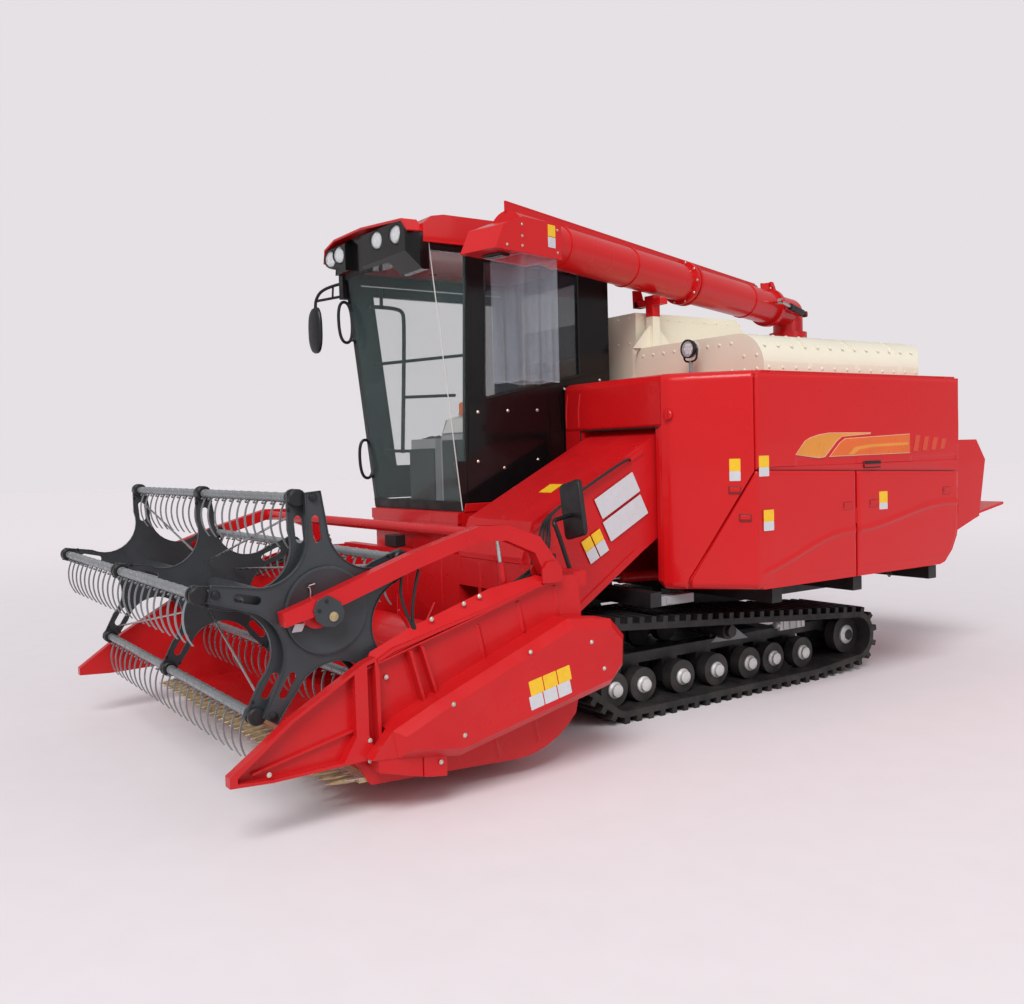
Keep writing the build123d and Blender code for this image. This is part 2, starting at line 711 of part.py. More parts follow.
with BuildPart() as console:
    prism(side(-690), [(-860, cab_floor_z), (-650, cab_floor_z), (-690, 1480), (-760, 1560), (-850, 1560)], 300)
    desk_left = cab_left - cab_wall - 1
    for width, outline in ((desk_width, [(-526, cab_floor_z), (60, cab_floor_z), (60, 1640), (-526, 1677)]),
                           (desk_front_width, [(-870, cab_floor_z), (-525, cab_floor_z), (-525, 1677), (-740, 1690),
                                               (-830, 1665), (-870, 1550)])):
        prism(side(desk_left - width), outline, width)
    for y in (-520, -380, -200):
        rod((-130, y, 1640), (-130, y - 30, 1800), 9)
save(console, "console")

with BuildPart() as mirror_right:
    block((cab_right - 30, -1068, 2555), (cab_right, -1035, 2590))
    rod((cab_right - 15, -1052, 2572), (-1300, -1190, 2520), 12)
    with Locations((-1300, -1190, 2520)):
        Sphere(17)
    rod((-1300, -1190, 2520), (-1300, -1190, 2300), 13)
    block((cab_right - mirror_reach, -1220, 2150), (cab_right - mirror_reach + 185, -1190, 2450))
save(mirror_right, "mirror_right")

with BuildPart() as handrails:
    for z0, z1 in ((1450, 1650), (2300, 2480)):
        y = screen_y((z0 + z1) / 2) + 60
        for z in (z0, z1):
            rod((cab_right, y, z), (cab_right - 60, y, z), 9)
        rod((cab_right - 60, y, z0 - 9), (cab_right - 60, y, z1 + 9), 9)
save(handrails, "handrails")

# Boarding step on the right
with BuildPart() as boarding_step:
    for y in (-700, -420):
        block((-1190, y, 520), (-1150, y + 25, 760))
        block((-1190, y, 736), (cab_right, y + 25, 760))
    block((-1290, -700, 500), (-1150, -395, 520))
save(boarding_step, "boarding_step")

# Unloading auger
boom_run = Vector(*head) - Vector(*elbow)
boom_dir = boom_run.normalized()
boom_flat = Vector(boom_dir.X, boom_dir.Y, 0).normalized()
boom_side = Vector(-boom_flat.Y, boom_flat.X, 0)


def on_boom(distance, rise=0):
    point = Vector(*elbow) + boom_dir * distance + Vector(0, 0, rise)
    return (point.X, point.Y, point.Z)


def on_boom_plane(point, offset):
    along = boom_flat * point[0] + boom_side * offset
    return (elbow[0] + along.X, elbow[1] + along.Y, point[1])


turret_z = 2300
boom_start = 330
rest_distance = 1850
boom_length = ((head[0] - elbow[0]) ** 2 + (head[1] - elbow[1]) ** 2) ** 0.5
boom_end = boom_length - 70
boom_hinge = (329, 2650)
lug_spread = 30
lug_thickness = 14
hinge_pin = 10
ridge_width = 8
ridge_height = 50
hood_half = 125
hood_rear = -384
hood_front = 147
hood_top = -72

with BuildPart() as auger_riser:
    rod((elbow[0], elbow[1], 720), (elbow[0], elbow[1], turret_z - pin_gap), riser_radius)
    rod((elbow[0], elbow[1], turret_z - 22), (elbow[0], elbow[1], turret_z - pin_gap), flange_radius)
    block((elbow[0] - 120, tank_rear, 720), (elbow[0] + 120, elbow[1], 900))
    block((elbow[0] - 60, tank_rear, 1700), (elbow[0] + 60, elbow[1], 1760))
save(auger_riser, "auger_riser")

boom_plane = Plane(origin=(elbow[0], elbow[1], 0), x_dir=tuple(boom_flat), z_dir=tuple(-boom_side))


def boom_prism(offset, outline, depth, mode=Mode.ADD):
    """A plate in the boom's upright plane: points are the distance along it and the height."""
    prism(boom_plane.offset(offset), outline, depth, mode=mode)


with BuildPart() as auger_elbow:
    rod((elbow[0], elbow[1], turret_z), (elbow[0], elbow[1], turret_z + 20), flange_radius)
    rod((elbow[0], elbow[1], turret_z), elbow, riser_radius)
    with Locations(elbow):
        Sphere(riser_radius)
    rod(elbow, on_boom(boom_start - 22), riser_radius - 1)
    rod(on_boom(boom_start - 22), on_boom(boom_start - pin_gap), flange_radius)
    rod(on_boom_plane(boom_lift_base, 60), on_boom_plane(boom_lift_base, boom_lift_offset + 20), boom_lift_pin)
    for offset in (-lug_spread - lug_thickness, lug_spread):
        lug = [(250, 2560), (boom_start - 12, 2560), (boom_start - 12, 2630), (boom_hinge[0] + 16, 2634),
               (boom_hinge[0] + 18, 2668), (boom_hinge[0] - 18, 2668), (250, 2590)]
        boom_prism(offset, lug, lug_thickness)
    rod(on_boom_plane(boom_hinge, -lug_spread - lug_thickness), on_boom_plane(boom_hinge, lug_spread + lug_thickness),
        hinge_pin)
save(auger_elbow, "auger_elbow")

with BuildPart() as auger_tube:
    rod(on_boom(boom_start), on_boom(boom_end), boom_radius)
    rod(on_boom(boom_start), on_boom(boom_start + 20), flange_radius)
    for distance in (1462, 1496):
        rod(on_boom(distance), on_boom(distance + 14), flange_radius)
    rod(on_boom_plane(boom_lift_eye, 60), on_boom_plane(boom_lift_eye, boom_lift_offset + 20), boom_lift_pin)
    boom_prism(-lug_spread + 1, [(boom_start + 6, 2560), (boom_start + 60, 2560), (boom_start + 60, 2600), (boom_hinge[0] + 22, 2664),
                             (boom_hinge[0] - 14, 2664), (boom_hinge[0] - 14, 2634), (boom_start + 6, 2630)], 2 * lug_spread - 2)
    rod(on_boom_plane(boom_hinge, -lug_spread), on_boom_plane(boom_hinge, lug_spread), hinge_pin + running,
        mode=Mode.SUBTRACT)
    ridge_rear = on_boom(boom_start + 60)
    ridge_front = on_boom(boom_end)
    boom_prism(-ridge_width / 2, [(boom_start + 120, ridge_rear[2] + boom_radius - 5), (boom_end, ridge_front[2] + boom_radius - 5),
                                  (boom_end, ridge_front[2] + boom_radius + ridge_height),
                                  (boom_start + 160, ridge_rear[2] + boom_radius + ridge_height / 2)], ridge_width)
    hood = [(hood_rear, -125), (hood_front, -125), (hood_front - 68, 3), (hood_top, 62), (hood_rear, 62)]
    boom_prism(-hood_half, [(boom_length + u, head[2] + v) for u, v in hood], 2 * hood_half)
    throat = [(hood_rear + 12, -140), (hood_top + 20, -140), (hood_top + 20, -60), (hood_rear + 12, -60)]
    boom_prism(-hood_half + 12, [(boom_length + u, head[2] + v) for u, v in throat], 2 * hood_half - 24,
               mode=Mode.SUBTRACT)
save(auger_tube, "auger_tube")

with BuildPart() as spout_curtain:
    curtain_plane = Plane(origin=(head[0], head[1], head[2] - 125), x_dir=tuple(boom_flat), z_dir=(0, 0, -1))
    with BuildSketch(curtain_plane) as section:
        with Locations(((hood_rear + hood_top) / 2 + 16, 0)):
            Rectangle(hood_top - hood_rear - 20, 2 * hood_half - 20)
            Rectangle(hood_top - hood_rear - 30, 2 * hood_half - 30, mode=Mode.SUBTRACT)
    extrude(section.sketch, amount=660)
save(spout_curtain, "spout_curtain")

# Auger rest: a post with gussets on the top cover, and a fork that the tube lies in
rest_point = on_boom(rest_distance)
saddle_z = rest_point[2] - boom_radius / cos(radians(3)) - 4
with BuildPart() as auger_rest:
    block((rest_point[0] - 30, rest_point[1] - 30, cover_top), (rest_point[0] + 30, rest_point[1] + 30, saddle_z - 60))
    prism(side(rest_point[0] - 5), [(rest_point[1] - 170, cover_top), (rest_point[1] + 170, cover_top),
                                    (rest_point[1] + 28, cover_top + 150), (rest_point[1] - 28, cover_top + 150)], 10)
    block((rest_point[0] - 135, rest_point[1] - 30, saddle_z - 70), (rest_point[0] + 100, rest_point[1] + 30, saddle_z - 34))
    prism(facing(rest_point[1] + 30), [(rest_point[0] - 150, saddle_z - 70), (rest_point[0] - 100, saddle_z - 70),
                                       (rest_point[0] - 140, saddle_z + 40), (rest_point[0] - 155, saddle_z + 40)], 60)
    block((rest_point[0] - 40, rest_point[1] - 30, saddle_z - 35), (rest_point[0] + 40, rest_point[1] + 30, saddle_z - 12))
save(auger_rest, "auger_rest")


def build_cylinder(spots, sizes, name):
    """Barrel and rod for each base, rod eye and pin direction."""
    pin, barrel_radius, rod_radius, barrel_length, half_width_eye, stroke = sizes
    inset = stroke + rod_hold
    with BuildPart() as barrel:
        for base, eye, across in spots:
            run = (Vector(*eye) - Vector(*base)).normalized()
            start = Vector(*base)
            rod(tuple(start + run * (pin + 4)), tuple(start + run * (pin + 40)), half_width_eye - 2)
            rod(tuple(start + run * (pin + 34)), tuple(start + run * barrel_length), barrel_radius)
            rod(tuple(start - across * half_width_eye), tuple(start + across * half_width_eye), pin + 12)
            rod(tuple(start + run * (barrel_length - inset - rod_end_play)), tuple(start + run * (barrel_length + 1)),
                rod_radius + running, mode=Mode.SUBTRACT)
            rod(tuple(start - across * (half_width_eye + 1)), tuple(start + across * (half_width_eye + 1)),
                pin + running, mode=Mode.SUBTRACT)
    save(barrel, f"{name}_barrel")
    with BuildPart() as piston:
        for base, eye, across in spots:
            run = (Vector(*eye) - Vector(*base)).normalized()
            start = Vector(*base)
            end = Vector(*eye)
            rod(tuple(start + run * (barrel_length - inset)), tuple(end - run * (pin + 4)), rod_radius)
            rod(tuple(end - across * half_width_eye), tuple(end + across * half_width_eye), pin + eye_play + 8)
            rod(tuple(end - across * (half_width_eye + 1)), tuple(end + across * (half_width_eye + 1)),
                pin + eye_play, mode=Mode.SUBTRACT)
    save(piston, f"{name}_rod")


across_x = Vector(1, 0, 0)
build_cylinder([((lift_x, *lift_base), (lift_x, *lift_eye), across_x)],
               (lift_pin, lift_barrel_radius, lift_rod_radius, lift_barrel_length, lug_gap / 2 - 1,
                lift_stroke), "header_lift")
build_cylinder([((sign * reel_lift_x, *reel_lift_base), (sign * reel_lift_x, *reel_lift_eye), across_x)
                for sign in (1, -1)],
               (reel_lift_pin, reel_lift_barrel_radius, reel_lift_rod_radius, reel_lift_barrel_length, 12,
                reel_lift_stroke),
               "reel_lift")
build_cylinder([(on_boom_plane(boom_lift_base, boom_lift_offset), on_boom_plane(boom_lift_eye, boom_lift_offset),
                 boom_side)],
               (boom_lift_pin, boom_lift_barrel_radius, boom_lift_rod_radius, boom_lift_barrel_length, 14,
                boom_lift_stroke),
               "boom_lift")

# Feeder house, hung on the feeder pivot
feeder_depth = feeder_left - feeder_right
with BuildPart() as feeder_house:
    outline = [(header_rear, 250), (-905, 250), (-800, 583), (-769, 602), (-60, 1027), (60, 1060), (60, 1380),
               (0, 1545), (-60, 1585), (-1000, 1110), (header_rear, 930)]
    prism(side(feeder_right), outline, feeder_depth)
    inner = [(header_rear - 1, 280), (-925, 290), (-815, 605), (-66, 1055), (61, 1090), (61, 1360),
             (-10, 1520), (-60, 1550), (-985, 1085), (header_rear - 1, 900)]
    prism(side(feeder_right + 14), inner, feeder_depth - 28, mode=Mode.SUBTRACT)
    trunnion = throat_side + bearing_seat - 1
    for x0, x1 in ((feeder_right - trunnion, feeder_right + 10), (feeder_left - 10, feeder_left + trunnion)):
        disc_x((feeder_pivot_y, feeder_pivot_z), trunnion_radius, x0, x1)
    for x in (feeder_right - 8, feeder_left):
        prism(side(x), [(-1000, 1060), (-250, 1439), (-250, 1467), (-1000, 1088)], 8)
        prism(side(x), [(-1000, 560), (-812, 560), (-300, 887), (-320, 918), (-830, 590), (-1000, 590)], 8)
    for x in (lift_x - lug_gap / 2 - lug_plate, lift_x + lug_gap / 2):
        outline = [(lift_eye[0] - 70, 738), (lift_eye[0] - 20, lift_eye[1] - 30), (lift_eye[0] + 25, lift_eye[1] - 25),
                   (lift_eye[0] + 90, 830), (lift_eye[0] - 65, 785)]
        prism(side(x), outline, lug_plate)
    disc_x(lift_eye, lift_pin, lift_x - lug_gap / 2 - lug_plate - 8, lift_x + lug_gap / 2 + lug_plate + 8)
save(feeder_house, "feeder_house")

# Header: floor, trough and back in one bent sheet, with rear beams
with BuildPart() as header_frame:
    arc_start = (trough_y - 160, trough_z - (trough_radius ** 2 - 160 ** 2) ** 0.5)
    arc_low = (trough_y, trough_z - trough_radius)
    arc_end = (header_rear, trough_z - (trough_radius ** 2 - (header_rear - trough_y) ** 2) ** 0.5)
    inner_end = (header_rear - sheet, arc_end[1] + 8)
    floor_front = (knife_y + 40, knife_z - 20)
    with BuildSketch(side(-header_half + end_sheet)) as section:
        with BuildLine():
            Line(floor_front, arc_start)
            ThreePointArc(arc_start, arc_low, arc_end)
            Line(arc_end, (header_rear, header_top))
            Line((header_rear, header_top), (header_rear - sheet, header_top))
            Line((header_rear - sheet, header_top), inner_end)
            ThreePointArc(inner_end, (arc_low[0], arc_low[1] + sheet), (arc_start[0], arc_start[1] + sheet))
            Line((arc_start[0], arc_start[1] + sheet), (floor_front[0], floor_front[1] + sheet))
            Line((floor_front[0], floor_front[1] + sheet), floor_front)
        make_face()
    extrude(section.sketch, amount=2 * (header_half - end_sheet))
    block((feeder_right + 14, header_rear - 60, 300), (feeder_left - 14, header_rear + 20, 750), mode=Mode.SUBTRACT)
    inner_half = header_half - end_sheet
    for x0, x1 in ((-inner_half, feeder_right), (feeder_left, inner_half)):
        block((x0, header_rear, header_top - 70), (x1, header_rear + 60, header_top))
        block((x0, header_rear, 340), (x1, header_rear + 40, 400))
    for x in (-1000, -600, -200, feeder_left + 200):
        block((x - 25, header_rear, 399), (x + 25, header_rear + 40, header_top - 69))
save(header_frame, "header_frame")

with BuildPart() as header_sides:
    for side_sign in (1, -1):
        x0 = header_half - end_sheet if side_sign > 0 else -header_half
        with BuildSketch(side(x0)) as section:
            with BuildLine():
                Line((-2231, 240), (-2195, 608))
                Line((-2195, 608), (-2048, 675))
                Line((-2048, 675), (-1190, 890))
                Line((-1190, 890), (-1075, 890))
                Line((-1075, 890), (-1040, 500))
                Line((-1040, 500), (-1101, 249))
                ThreePointArc((-1101, 249), (-1255, 133), (trough_y, trough_z - trough_radius))
                Line((trough_y, trough_z - trough_radius), (-2160, 130))
                Line((-2160, 130), (-2231, 240))
            make_face()
        extrude(section.sketch, amount=end_sheet)
        disc_x((auger_y, auger_z), stub_radius + running, x0 - 1, x0 + end_sheet + 1, mode=Mode.SUBTRACT)
        ends = sorted((side_sign * (reel_lift_x - 24), side_sign * (header_half - end_sheet / 2)))
        disc_x(reel_lift_base, reel_lift_pin, ends[0], ends[1])
        pivot = sorted((side_sign * (arm_x - 34), side_sign * (arm_x + arm_width + 12)))
        disc_x((arm_pivot_y, arm_pivot_z), arm_pin_radius, pivot[0], pivot[1])
        for x in (arm_x - 24, arm_x + arm_width + 2):
            plate_x = sorted((side_sign * x, side_sign * (x + 10)))
            outline = [(-1300, 870), (-1190, 870), (-1190, 930), (-1220, 965), (-1270, 965), (-1300, 930)]
            prism(side(plate_x[0]), outline, plate_x[1] - plate_x[0])
        foot_x = sorted((side_sign * (arm_x - 24), side_sign * (arm_x + arm_width + 12)))
        block((foot_x[0], -1300, 870), (foot_x[1], -1190, 884))
        rail_x0 = header_half - end_sheet if side_sign > 0 else -header_half - 30
        prism(side(rail_x0), [(-2128, 629), (-2128, 642), (-2048, 679), (-1300, 867), (-1300, 853), (-2046, 665)],
              end_sheet + 30)
save(header_sides, "header_sides")

# Crop dividers: folded trays, open outward, each with a rib, a post and a gusset
divider_outline = [(front_tip, 250), (front_tip, 290), (-2506, 466), (-2195, 640), (-2146, 656), (-2130, 600),
                   (-2130, 250), (-2587, 240)]
divider_tray = [(front_tip + 30, 262), (front_tip + 30, 283), (-2500, 454), (-2195, 625), (-2150, 638),
                (-2142, 262), (-2587, 252)]
with BuildPart() as dividers:
    for side_sign in (1, -1):
        x0 = header_half if side_sign > 0 else -header_half - divider_width
        prism(side(x0), divider_outline, divider_width)
        tray_x = x0 + divider_sheet if side_sign > 0 else x0 - 1
        prism(side(tray_x), divider_tray, divider_width - divider_sheet + 1, mode=Mode.SUBTRACT)
        rib_x = x0 + divider_sheet - 1 if side_sign > 0 else x0 + divider_width / 2
        rib_depth = divider_width / 2 - divider_sheet + 1
        prism(side(rib_x), [(-2660, 275), (-2240, 368), (-2240, 376), (-2660, 283)], rib_depth)
        post_x = x0 + divider_sheet - 1 if side_sign > 0 else x0
        post_depth = divider_width - divider_sheet + 1
        prism(side(post_x), [(-2240, 350), (-2240, 605), (-2185, 634), (-2185, 350), (-2150, 258), (-2300, 252)], post_depth)
save(dividers, "dividers")

with BuildPart() as knife_bar:
    half_cut = header_half - end_sheet
    block((-half_cut, knife_y - 10, knife_z - 10), (half_cut, knife_y + 40, knife_z + 10))
    for i in range(guard_count):
        x = (i - (guard_count - 1) / 2) * guard_pitch
        prism(side(x - 9), [(knife_y - 9, knife_z - 14), (knife_y - 9, knife_z + 14), (knife_y - 115, knife_z + 3),
                            (knife_y - 120, knife_z - 4)], 18)
save(knife_bar, "knife_bar")

# Drive covers: pods with a bevelled outer face
with BuildPart() as drive_covers:
    for side_sign in (1, -1):
        x0 = header_half if side_sign > 0 else -header_half - cover_depth
        outline = [(-2112, 365), (-1912, 451), (-1226, 713), (-978, 685), (-899, 600), (-908, 463), (-987, 381),
                   (-1805, 208), (-2090, 250)]
        with BuildPart(mode=Mode.PRIVATE) as pod:
            prism(side(x0), outline, cover_depth)
            outer = pod.faces().filter_by(Axis.X).sort_by(Axis.X)[-1 if side_sign > 0 else 0]
            chamfer(outer.edges(), cover_bevel)
        add(pod.part)
        nose_x = x0 + divider_width + pin_gap if side_sign > 0 else x0 + 40
        nose_depth = cover_depth - 40 - divider_width - pin_gap
        prism(side(nose_x), [(-2205, 262), (-2112, 365), (-2080, 300), (-2090, 252)], nose_depth)
save(drive_covers, "drive_covers")

with BuildPart() as mirror_left:
    block((1090, header_rear + 60, 850), (1130, header_rear + 95, 880))
    rod((1110, header_rear + 80, 850), (1110, header_rear + 80, 1125), 12)
    with Locations((1110, header_rear + 80, 1125)):
        Sphere(16)
    rod((1110, header_rear + 80, 1125), (1040, header_rear + 190, 1160), 11)
    block((930, header_rear + 185, 1035), (1110, header_rear + 210, 1310))
save(mirror_left, "mirror_left")

# Header auger: a tube with a helical flight at each end that carries the crop to the feeder
def build_flight(x_start, span, lefthand):
    path = Helix(pitch=flight_pitch, height=span, radius=auger_tube_radius, lefthand=lefthand)
    depth = auger_flight_radius - auger_tube_radius
    with BuildPart(mode=Mode.PRIVATE) as flight:
        with BuildSketch(Plane(origin=path @ 0, x_dir=(1, 0, 0), z_dir=path % 0)) as blade:
            with Locations((depth / 2 - 2, 0)):
                Rectangle(depth + 4, flight_thickness)
        sweep(blade.sketch, path=path, is_frenet=True)
    frame = Plane(origin=(x_start, auger_y, auger_z), x_dir=(0, 1, 0), z_dir=(1, 0, 0))
    add(frame.location * flight.part)


with BuildPart() as header_auger:
    half_span = header_half - end_sheet - 8
    disc_x((auger_y, auger_z), auger_tube_radius, -half_span, half_span)
    disc_x((auger_y, auger_z), stub_radius, -header_half + 1, header_half - 1)
    build_flight(-half_span + 15, feeder_right + half_span - 60, False)
    build_flight(feeder_left + 30, half_span - feeder_left - 45, True)
    for i in range(6):
        turn = radians(60 * i)
        x = feeder_right + 60 + i * 80
        tip = auger_flight_radius - 5
        rod((x, auger_y, auger_z), (x, auger_y + tip * cos(turn), auger_z + tip * sin(turn)), 8)
save(header_auger, "header_auger")

# Reel arms, hung on the top rear corners of the header
with BuildPart() as reel_arms:
    for side_sign in (1, -1):
        x0 = arm_x if side_sign > 0 else -arm_x - arm_width
        outline = [(-2506, 815), (-2516, 870), (-2310, 935), (-1959, 1053), (-1616, 1147), (-1476, 1143), (-1300, 1080),
                   (-1205, 960), (-1212, 905), (-1278, 905), (-1330, 1010), (-1480, 1075), (-1620, 1080), (-1930, 990), (-2300, 865)]
        prism(side(x0), outline, arm_width)
        disc_x((arm_pivot_y, arm_pivot_z), arm_pin_radius + running, x0 - 1, x0 + arm_width + 1, mode=Mode.SUBTRACT)
        ends = sorted((side_sign * (reel_lift_x - 20), side_sign * (arm_x + 10)))
        disc_x(reel_lift_eye, reel_lift_pin, ends[0], ends[1])
        inner_face = arm_x if side_sign > 0 else arm_x - bearing_depth
        bearing = sorted((side_sign * inner_face, side_sign * (arm_x + arm_width / 2)))
        disc_x((reel_y, reel_z), bearing_radius, bearing[0], bearing[1])
        bore = sorted((side_sign * (inner_face - 1), side_sign * (arm_x + arm_width / 2 - 4)))
        disc_x((reel_y, reel_z), journal_radius + running, bore[0], bore[1], mode=Mode.SUBTRACT)
    disc_x((-1600, 1110), 26, -arm_x - 10, arm_x + 10)
save(reel_arms, "reel_arms")

with BuildPart() as cam_disc:
    disc_x((reel_y + crank_length, reel_z), disc_radius, arm_x - bearing_depth, arm_x)
    disc_x((reel_y, reel_z), journal_radius + running, arm_x - bearing_depth - 1, arm_x + 1, mode=Mode.SUBTRACT)
save(cam_disc, "cam_disc")


def spider(x, centre_y, hub, hole_radius):
    """A five-armed plate with hollow flanks, a slot in each arm and a hole at each tip."""
    tip = reel_bar_radius + 25
    flank = reel_bar_radius - 120
    tip_turn = degrees(atan2(tip_half, tip))
    flank_turn = degrees(atan2(flank_half, flank))
    step = 360 / reel_arms_count
    with BuildSketch(side(x)) as section:
        with BuildLine():
            for k in range(reel_arms_count):
                angle = 90 + reel_phase + step * k
                spots = []
                for radius, turn in ((flank, -flank_turn), (tip, -tip_turn), (tip, tip_turn), (flank, flank_turn),
                                     (hub, step / 2), (flank, step - flank_turn)):
                    a = radians(angle + turn)
                    spots.append((centre_y + radius * cos(a), reel_z + radius * sin(a)))
                Polyline(*spots[:4])
                ThreePointArc(*spots[3:])
        make_face()
        for k in range(reel_arms_count):
            angle = 90 + reel_phase + step * k
            a = radians(angle)
            slot_y = centre_y + slot_radius * cos(a)
            slot_z = reel_z + slot_radius * sin(a)
            with Locations(Location((slot_y, slot_z, 0), (0, 0, angle))):
                SlotOverall(slot_length, slot_width, mode=Mode.SUBTRACT)
            with Locations((centre_y + reel_bar_radius * cos(a), reel_z + reel_bar_radius * sin(a))):
                Circle(hole_radius, mode=Mode.SUBTRACT)
    extrude(section.sketch, amount=plate)


with BuildPart() as reel_spiders:
    disc_x((reel_y, reel_z), reel_shaft_radius, -spider_right_x + plate, spider_x + plate + 4)
    disc_x((reel_y, reel_z), journal_radius, -arm_x - arm_width / 2 + 6, arm_x + arm_width / 2 - 6)
    for x in (-spider_right_x, -plate / 2, spider_x):
        spider(x, reel_y, spider_waist, bar_tube_radius + running)
save(reel_spiders, "reel_spiders")

with BuildPart() as reel_eccentric:
    spider(arm_x - 20, reel_y + crank_length, disc_radius + 35, pin_radius + running)
    disc_x((reel_y + crank_length, reel_z), disc_radius + 1, arm_x - 21, arm_x - 11, mode=Mode.SUBTRACT)
save(reel_eccentric, "reel_eccentric")

for k in range(reel_arms_count):
    angle = radians(90 + reel_phase + 72 * k)
    bar_y = reel_y + reel_bar_radius * cos(angle)
    bar_z = reel_z + reel_bar_radius * sin(angle)
    with BuildPart() as tine_bar:
        disc_x((bar_y, bar_z), bar_tube_radius, -spider_right_x - 4, crank_x + crank_plate)
        with BuildSketch(side(crank_x)) as crank:
            with Locations((bar_y + crank_length / 2, bar_z)):
                SlotCenterToCenter(crank_length, 2 * crank_round)
        extrude(crank.sketch, amount=crank_plate)
        disc_x((bar_y + crank_length, bar_z), pin_radius, crank_x + 2, arm_x - 12)
        for i in range(tine_count):
            x = (i - (tine_count - 1) / 2) * tine_pitch
            w = tine_wire
            low = bar_z - bar_tube_radius + 3
            coil = (bar_y - w / 2, low)
            knee = (coil[0] - 24, low - 0.55 * tine_length)
            foot = (coil[0] + 10, low - tine_length)
            with BuildSketch(side(x - w / 2)) as tine:
                with BuildLine():
                    Line((coil[0] + w, low), coil)
                    ThreePointArc(coil, knee, foot)
                    Line(foot, (foot[0] + w, foot[1]))
                    ThreePointArc((foot[0] + w, foot[1]), (knee[0] + w, knee[1]), (coil[0] + w, low))
                make_face()
            extrude(tine.sketch, amount=w)
    save(tine_bar, f"tine_bar_{k + 1}")
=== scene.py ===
import math

import bmesh
import bpy
from mathutils import Matrix, Vector


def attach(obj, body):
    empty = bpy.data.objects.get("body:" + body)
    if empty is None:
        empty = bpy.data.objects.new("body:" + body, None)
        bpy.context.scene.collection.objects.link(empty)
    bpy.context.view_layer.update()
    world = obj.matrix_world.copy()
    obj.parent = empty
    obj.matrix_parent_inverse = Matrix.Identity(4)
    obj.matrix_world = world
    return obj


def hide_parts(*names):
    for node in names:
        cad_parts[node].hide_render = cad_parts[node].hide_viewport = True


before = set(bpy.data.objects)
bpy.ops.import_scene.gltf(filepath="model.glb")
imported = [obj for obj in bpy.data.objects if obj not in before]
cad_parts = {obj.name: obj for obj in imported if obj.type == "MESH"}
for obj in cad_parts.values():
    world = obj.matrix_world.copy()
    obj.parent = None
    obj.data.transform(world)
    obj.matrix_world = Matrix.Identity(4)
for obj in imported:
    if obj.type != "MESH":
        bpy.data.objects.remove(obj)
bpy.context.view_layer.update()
scene = bpy.context.scene


# Materials: colour, roughness and relief all vary over the surface
COAT_ROUGHNESS = 0.06
BUMP_DISTANCE = 0.002
DUST = (0.30, 0.25, 0.20)
DUST_TOP = 0.9


def fill(node, **values):
    """Set a node's inputs, with _ for each space in their names."""
    for key, value in values.items():
        node.inputs[key.replace("_", " ")].default_value = value


def material(name, color, rough=0.4, metal=0.0, coat=0.0, vary=0.08, spots=5.0, grain=500.0, relief=0.02,
             rough_vary=0.12, dust=0.0, sheen=0.0, ior=1.45, alpha=1.0, weave=0.0, shine=0.5):
    m = bpy.data.materials.new(name)
    m.use_nodes = True
    nodes, links = m.node_tree.nodes, m.node_tree.links
    bsdf = nodes["Principled BSDF"]
    fill(bsdf, Metallic=metal, Coat_Weight=coat, Coat_Roughness=COAT_ROUGHNESS, Sheen_Weight=sheen,
         Specular_IOR_Level=shine, IOR=ior, Alpha=alpha)
    coords = nodes.new("ShaderNodeTexCoord").outputs["Object"]

    def noise(scale, detail=3.0):
        n = nodes.new("ShaderNodeTexNoise")
        fill(n, Scale=scale, Detail=detail)
        links.new(coords, n.inputs["Vector"])
        return n.outputs["Fac"]

    def ranged(source, low, high, start=0.3, end=0.7):
        r = nodes.new("ShaderNodeMapRange")
        fill(r, From_Min=start, From_Max=end, To_Min=low, To_Max=high)
        links.new(source, r.inputs["Value"])
        return r.outputs["Result"]

    def mixed(factor, a, b):
        x = nodes.new("ShaderNodeMix")
        x.data_type = "RGBA"
        links.new(factor, x.inputs["Factor"])
        for socket, value in ((x.inputs["A"], a), (x.inputs["B"], b)):
            if isinstance(value, tuple):
                socket.default_value = (*value, 1)
            else:
                links.new(value, socket)
        return x.outputs["Result"]

    dark = tuple(c * (1 - vary) for c in color)
    light = tuple(min(1, c * (1 + vary)) for c in color)
    shade = mixed(ranged(noise(spots), 0, 1), dark, light)
    if dust:
        split = nodes.new("ShaderNodeSeparateXYZ")
        links.new(coords, split.inputs["Vector"])
        low = ranged(split.outputs["Z"], dust, 0.0, 0.0, DUST_TOP)
        product = nodes.new("ShaderNodeMath")
        product.operation = "MULTIPLY"
        links.new(low, product.inputs[0])
        links.new(ranged(noise(9.0, 6.0), 0, 1, 0.35, 0.65), product.inputs[1])
        shade = mixed(product.outputs["Value"], shade, DUST)
    links.new(shade, bsdf.inputs["Base Color"])
    roughness = ranged(noise(spots * 2.3, 5.0), max(0.02, rough - rough_vary), rough + rough_vary)
    links.new(roughness, bsdf.inputs["Roughness"])
    bump = nodes.new("ShaderNodeBump")
    fill(bump, Strength=relief * 5, Distance=BUMP_DISTANCE)
    if weave:
        wave = nodes.new("ShaderNodeTexWave")
        fill(wave, Scale=weave, Distortion=2.0)
        links.new(coords, wave.inputs["Vector"])
        links.new(wave.outputs["Fac"], bump.inputs["Height"])
    else:
        links.new(noise(grain, 2.0), bump.inputs["Height"])
    links.new(bump.outputs["Normal"], bsdf.inputs["Normal"])
    return m


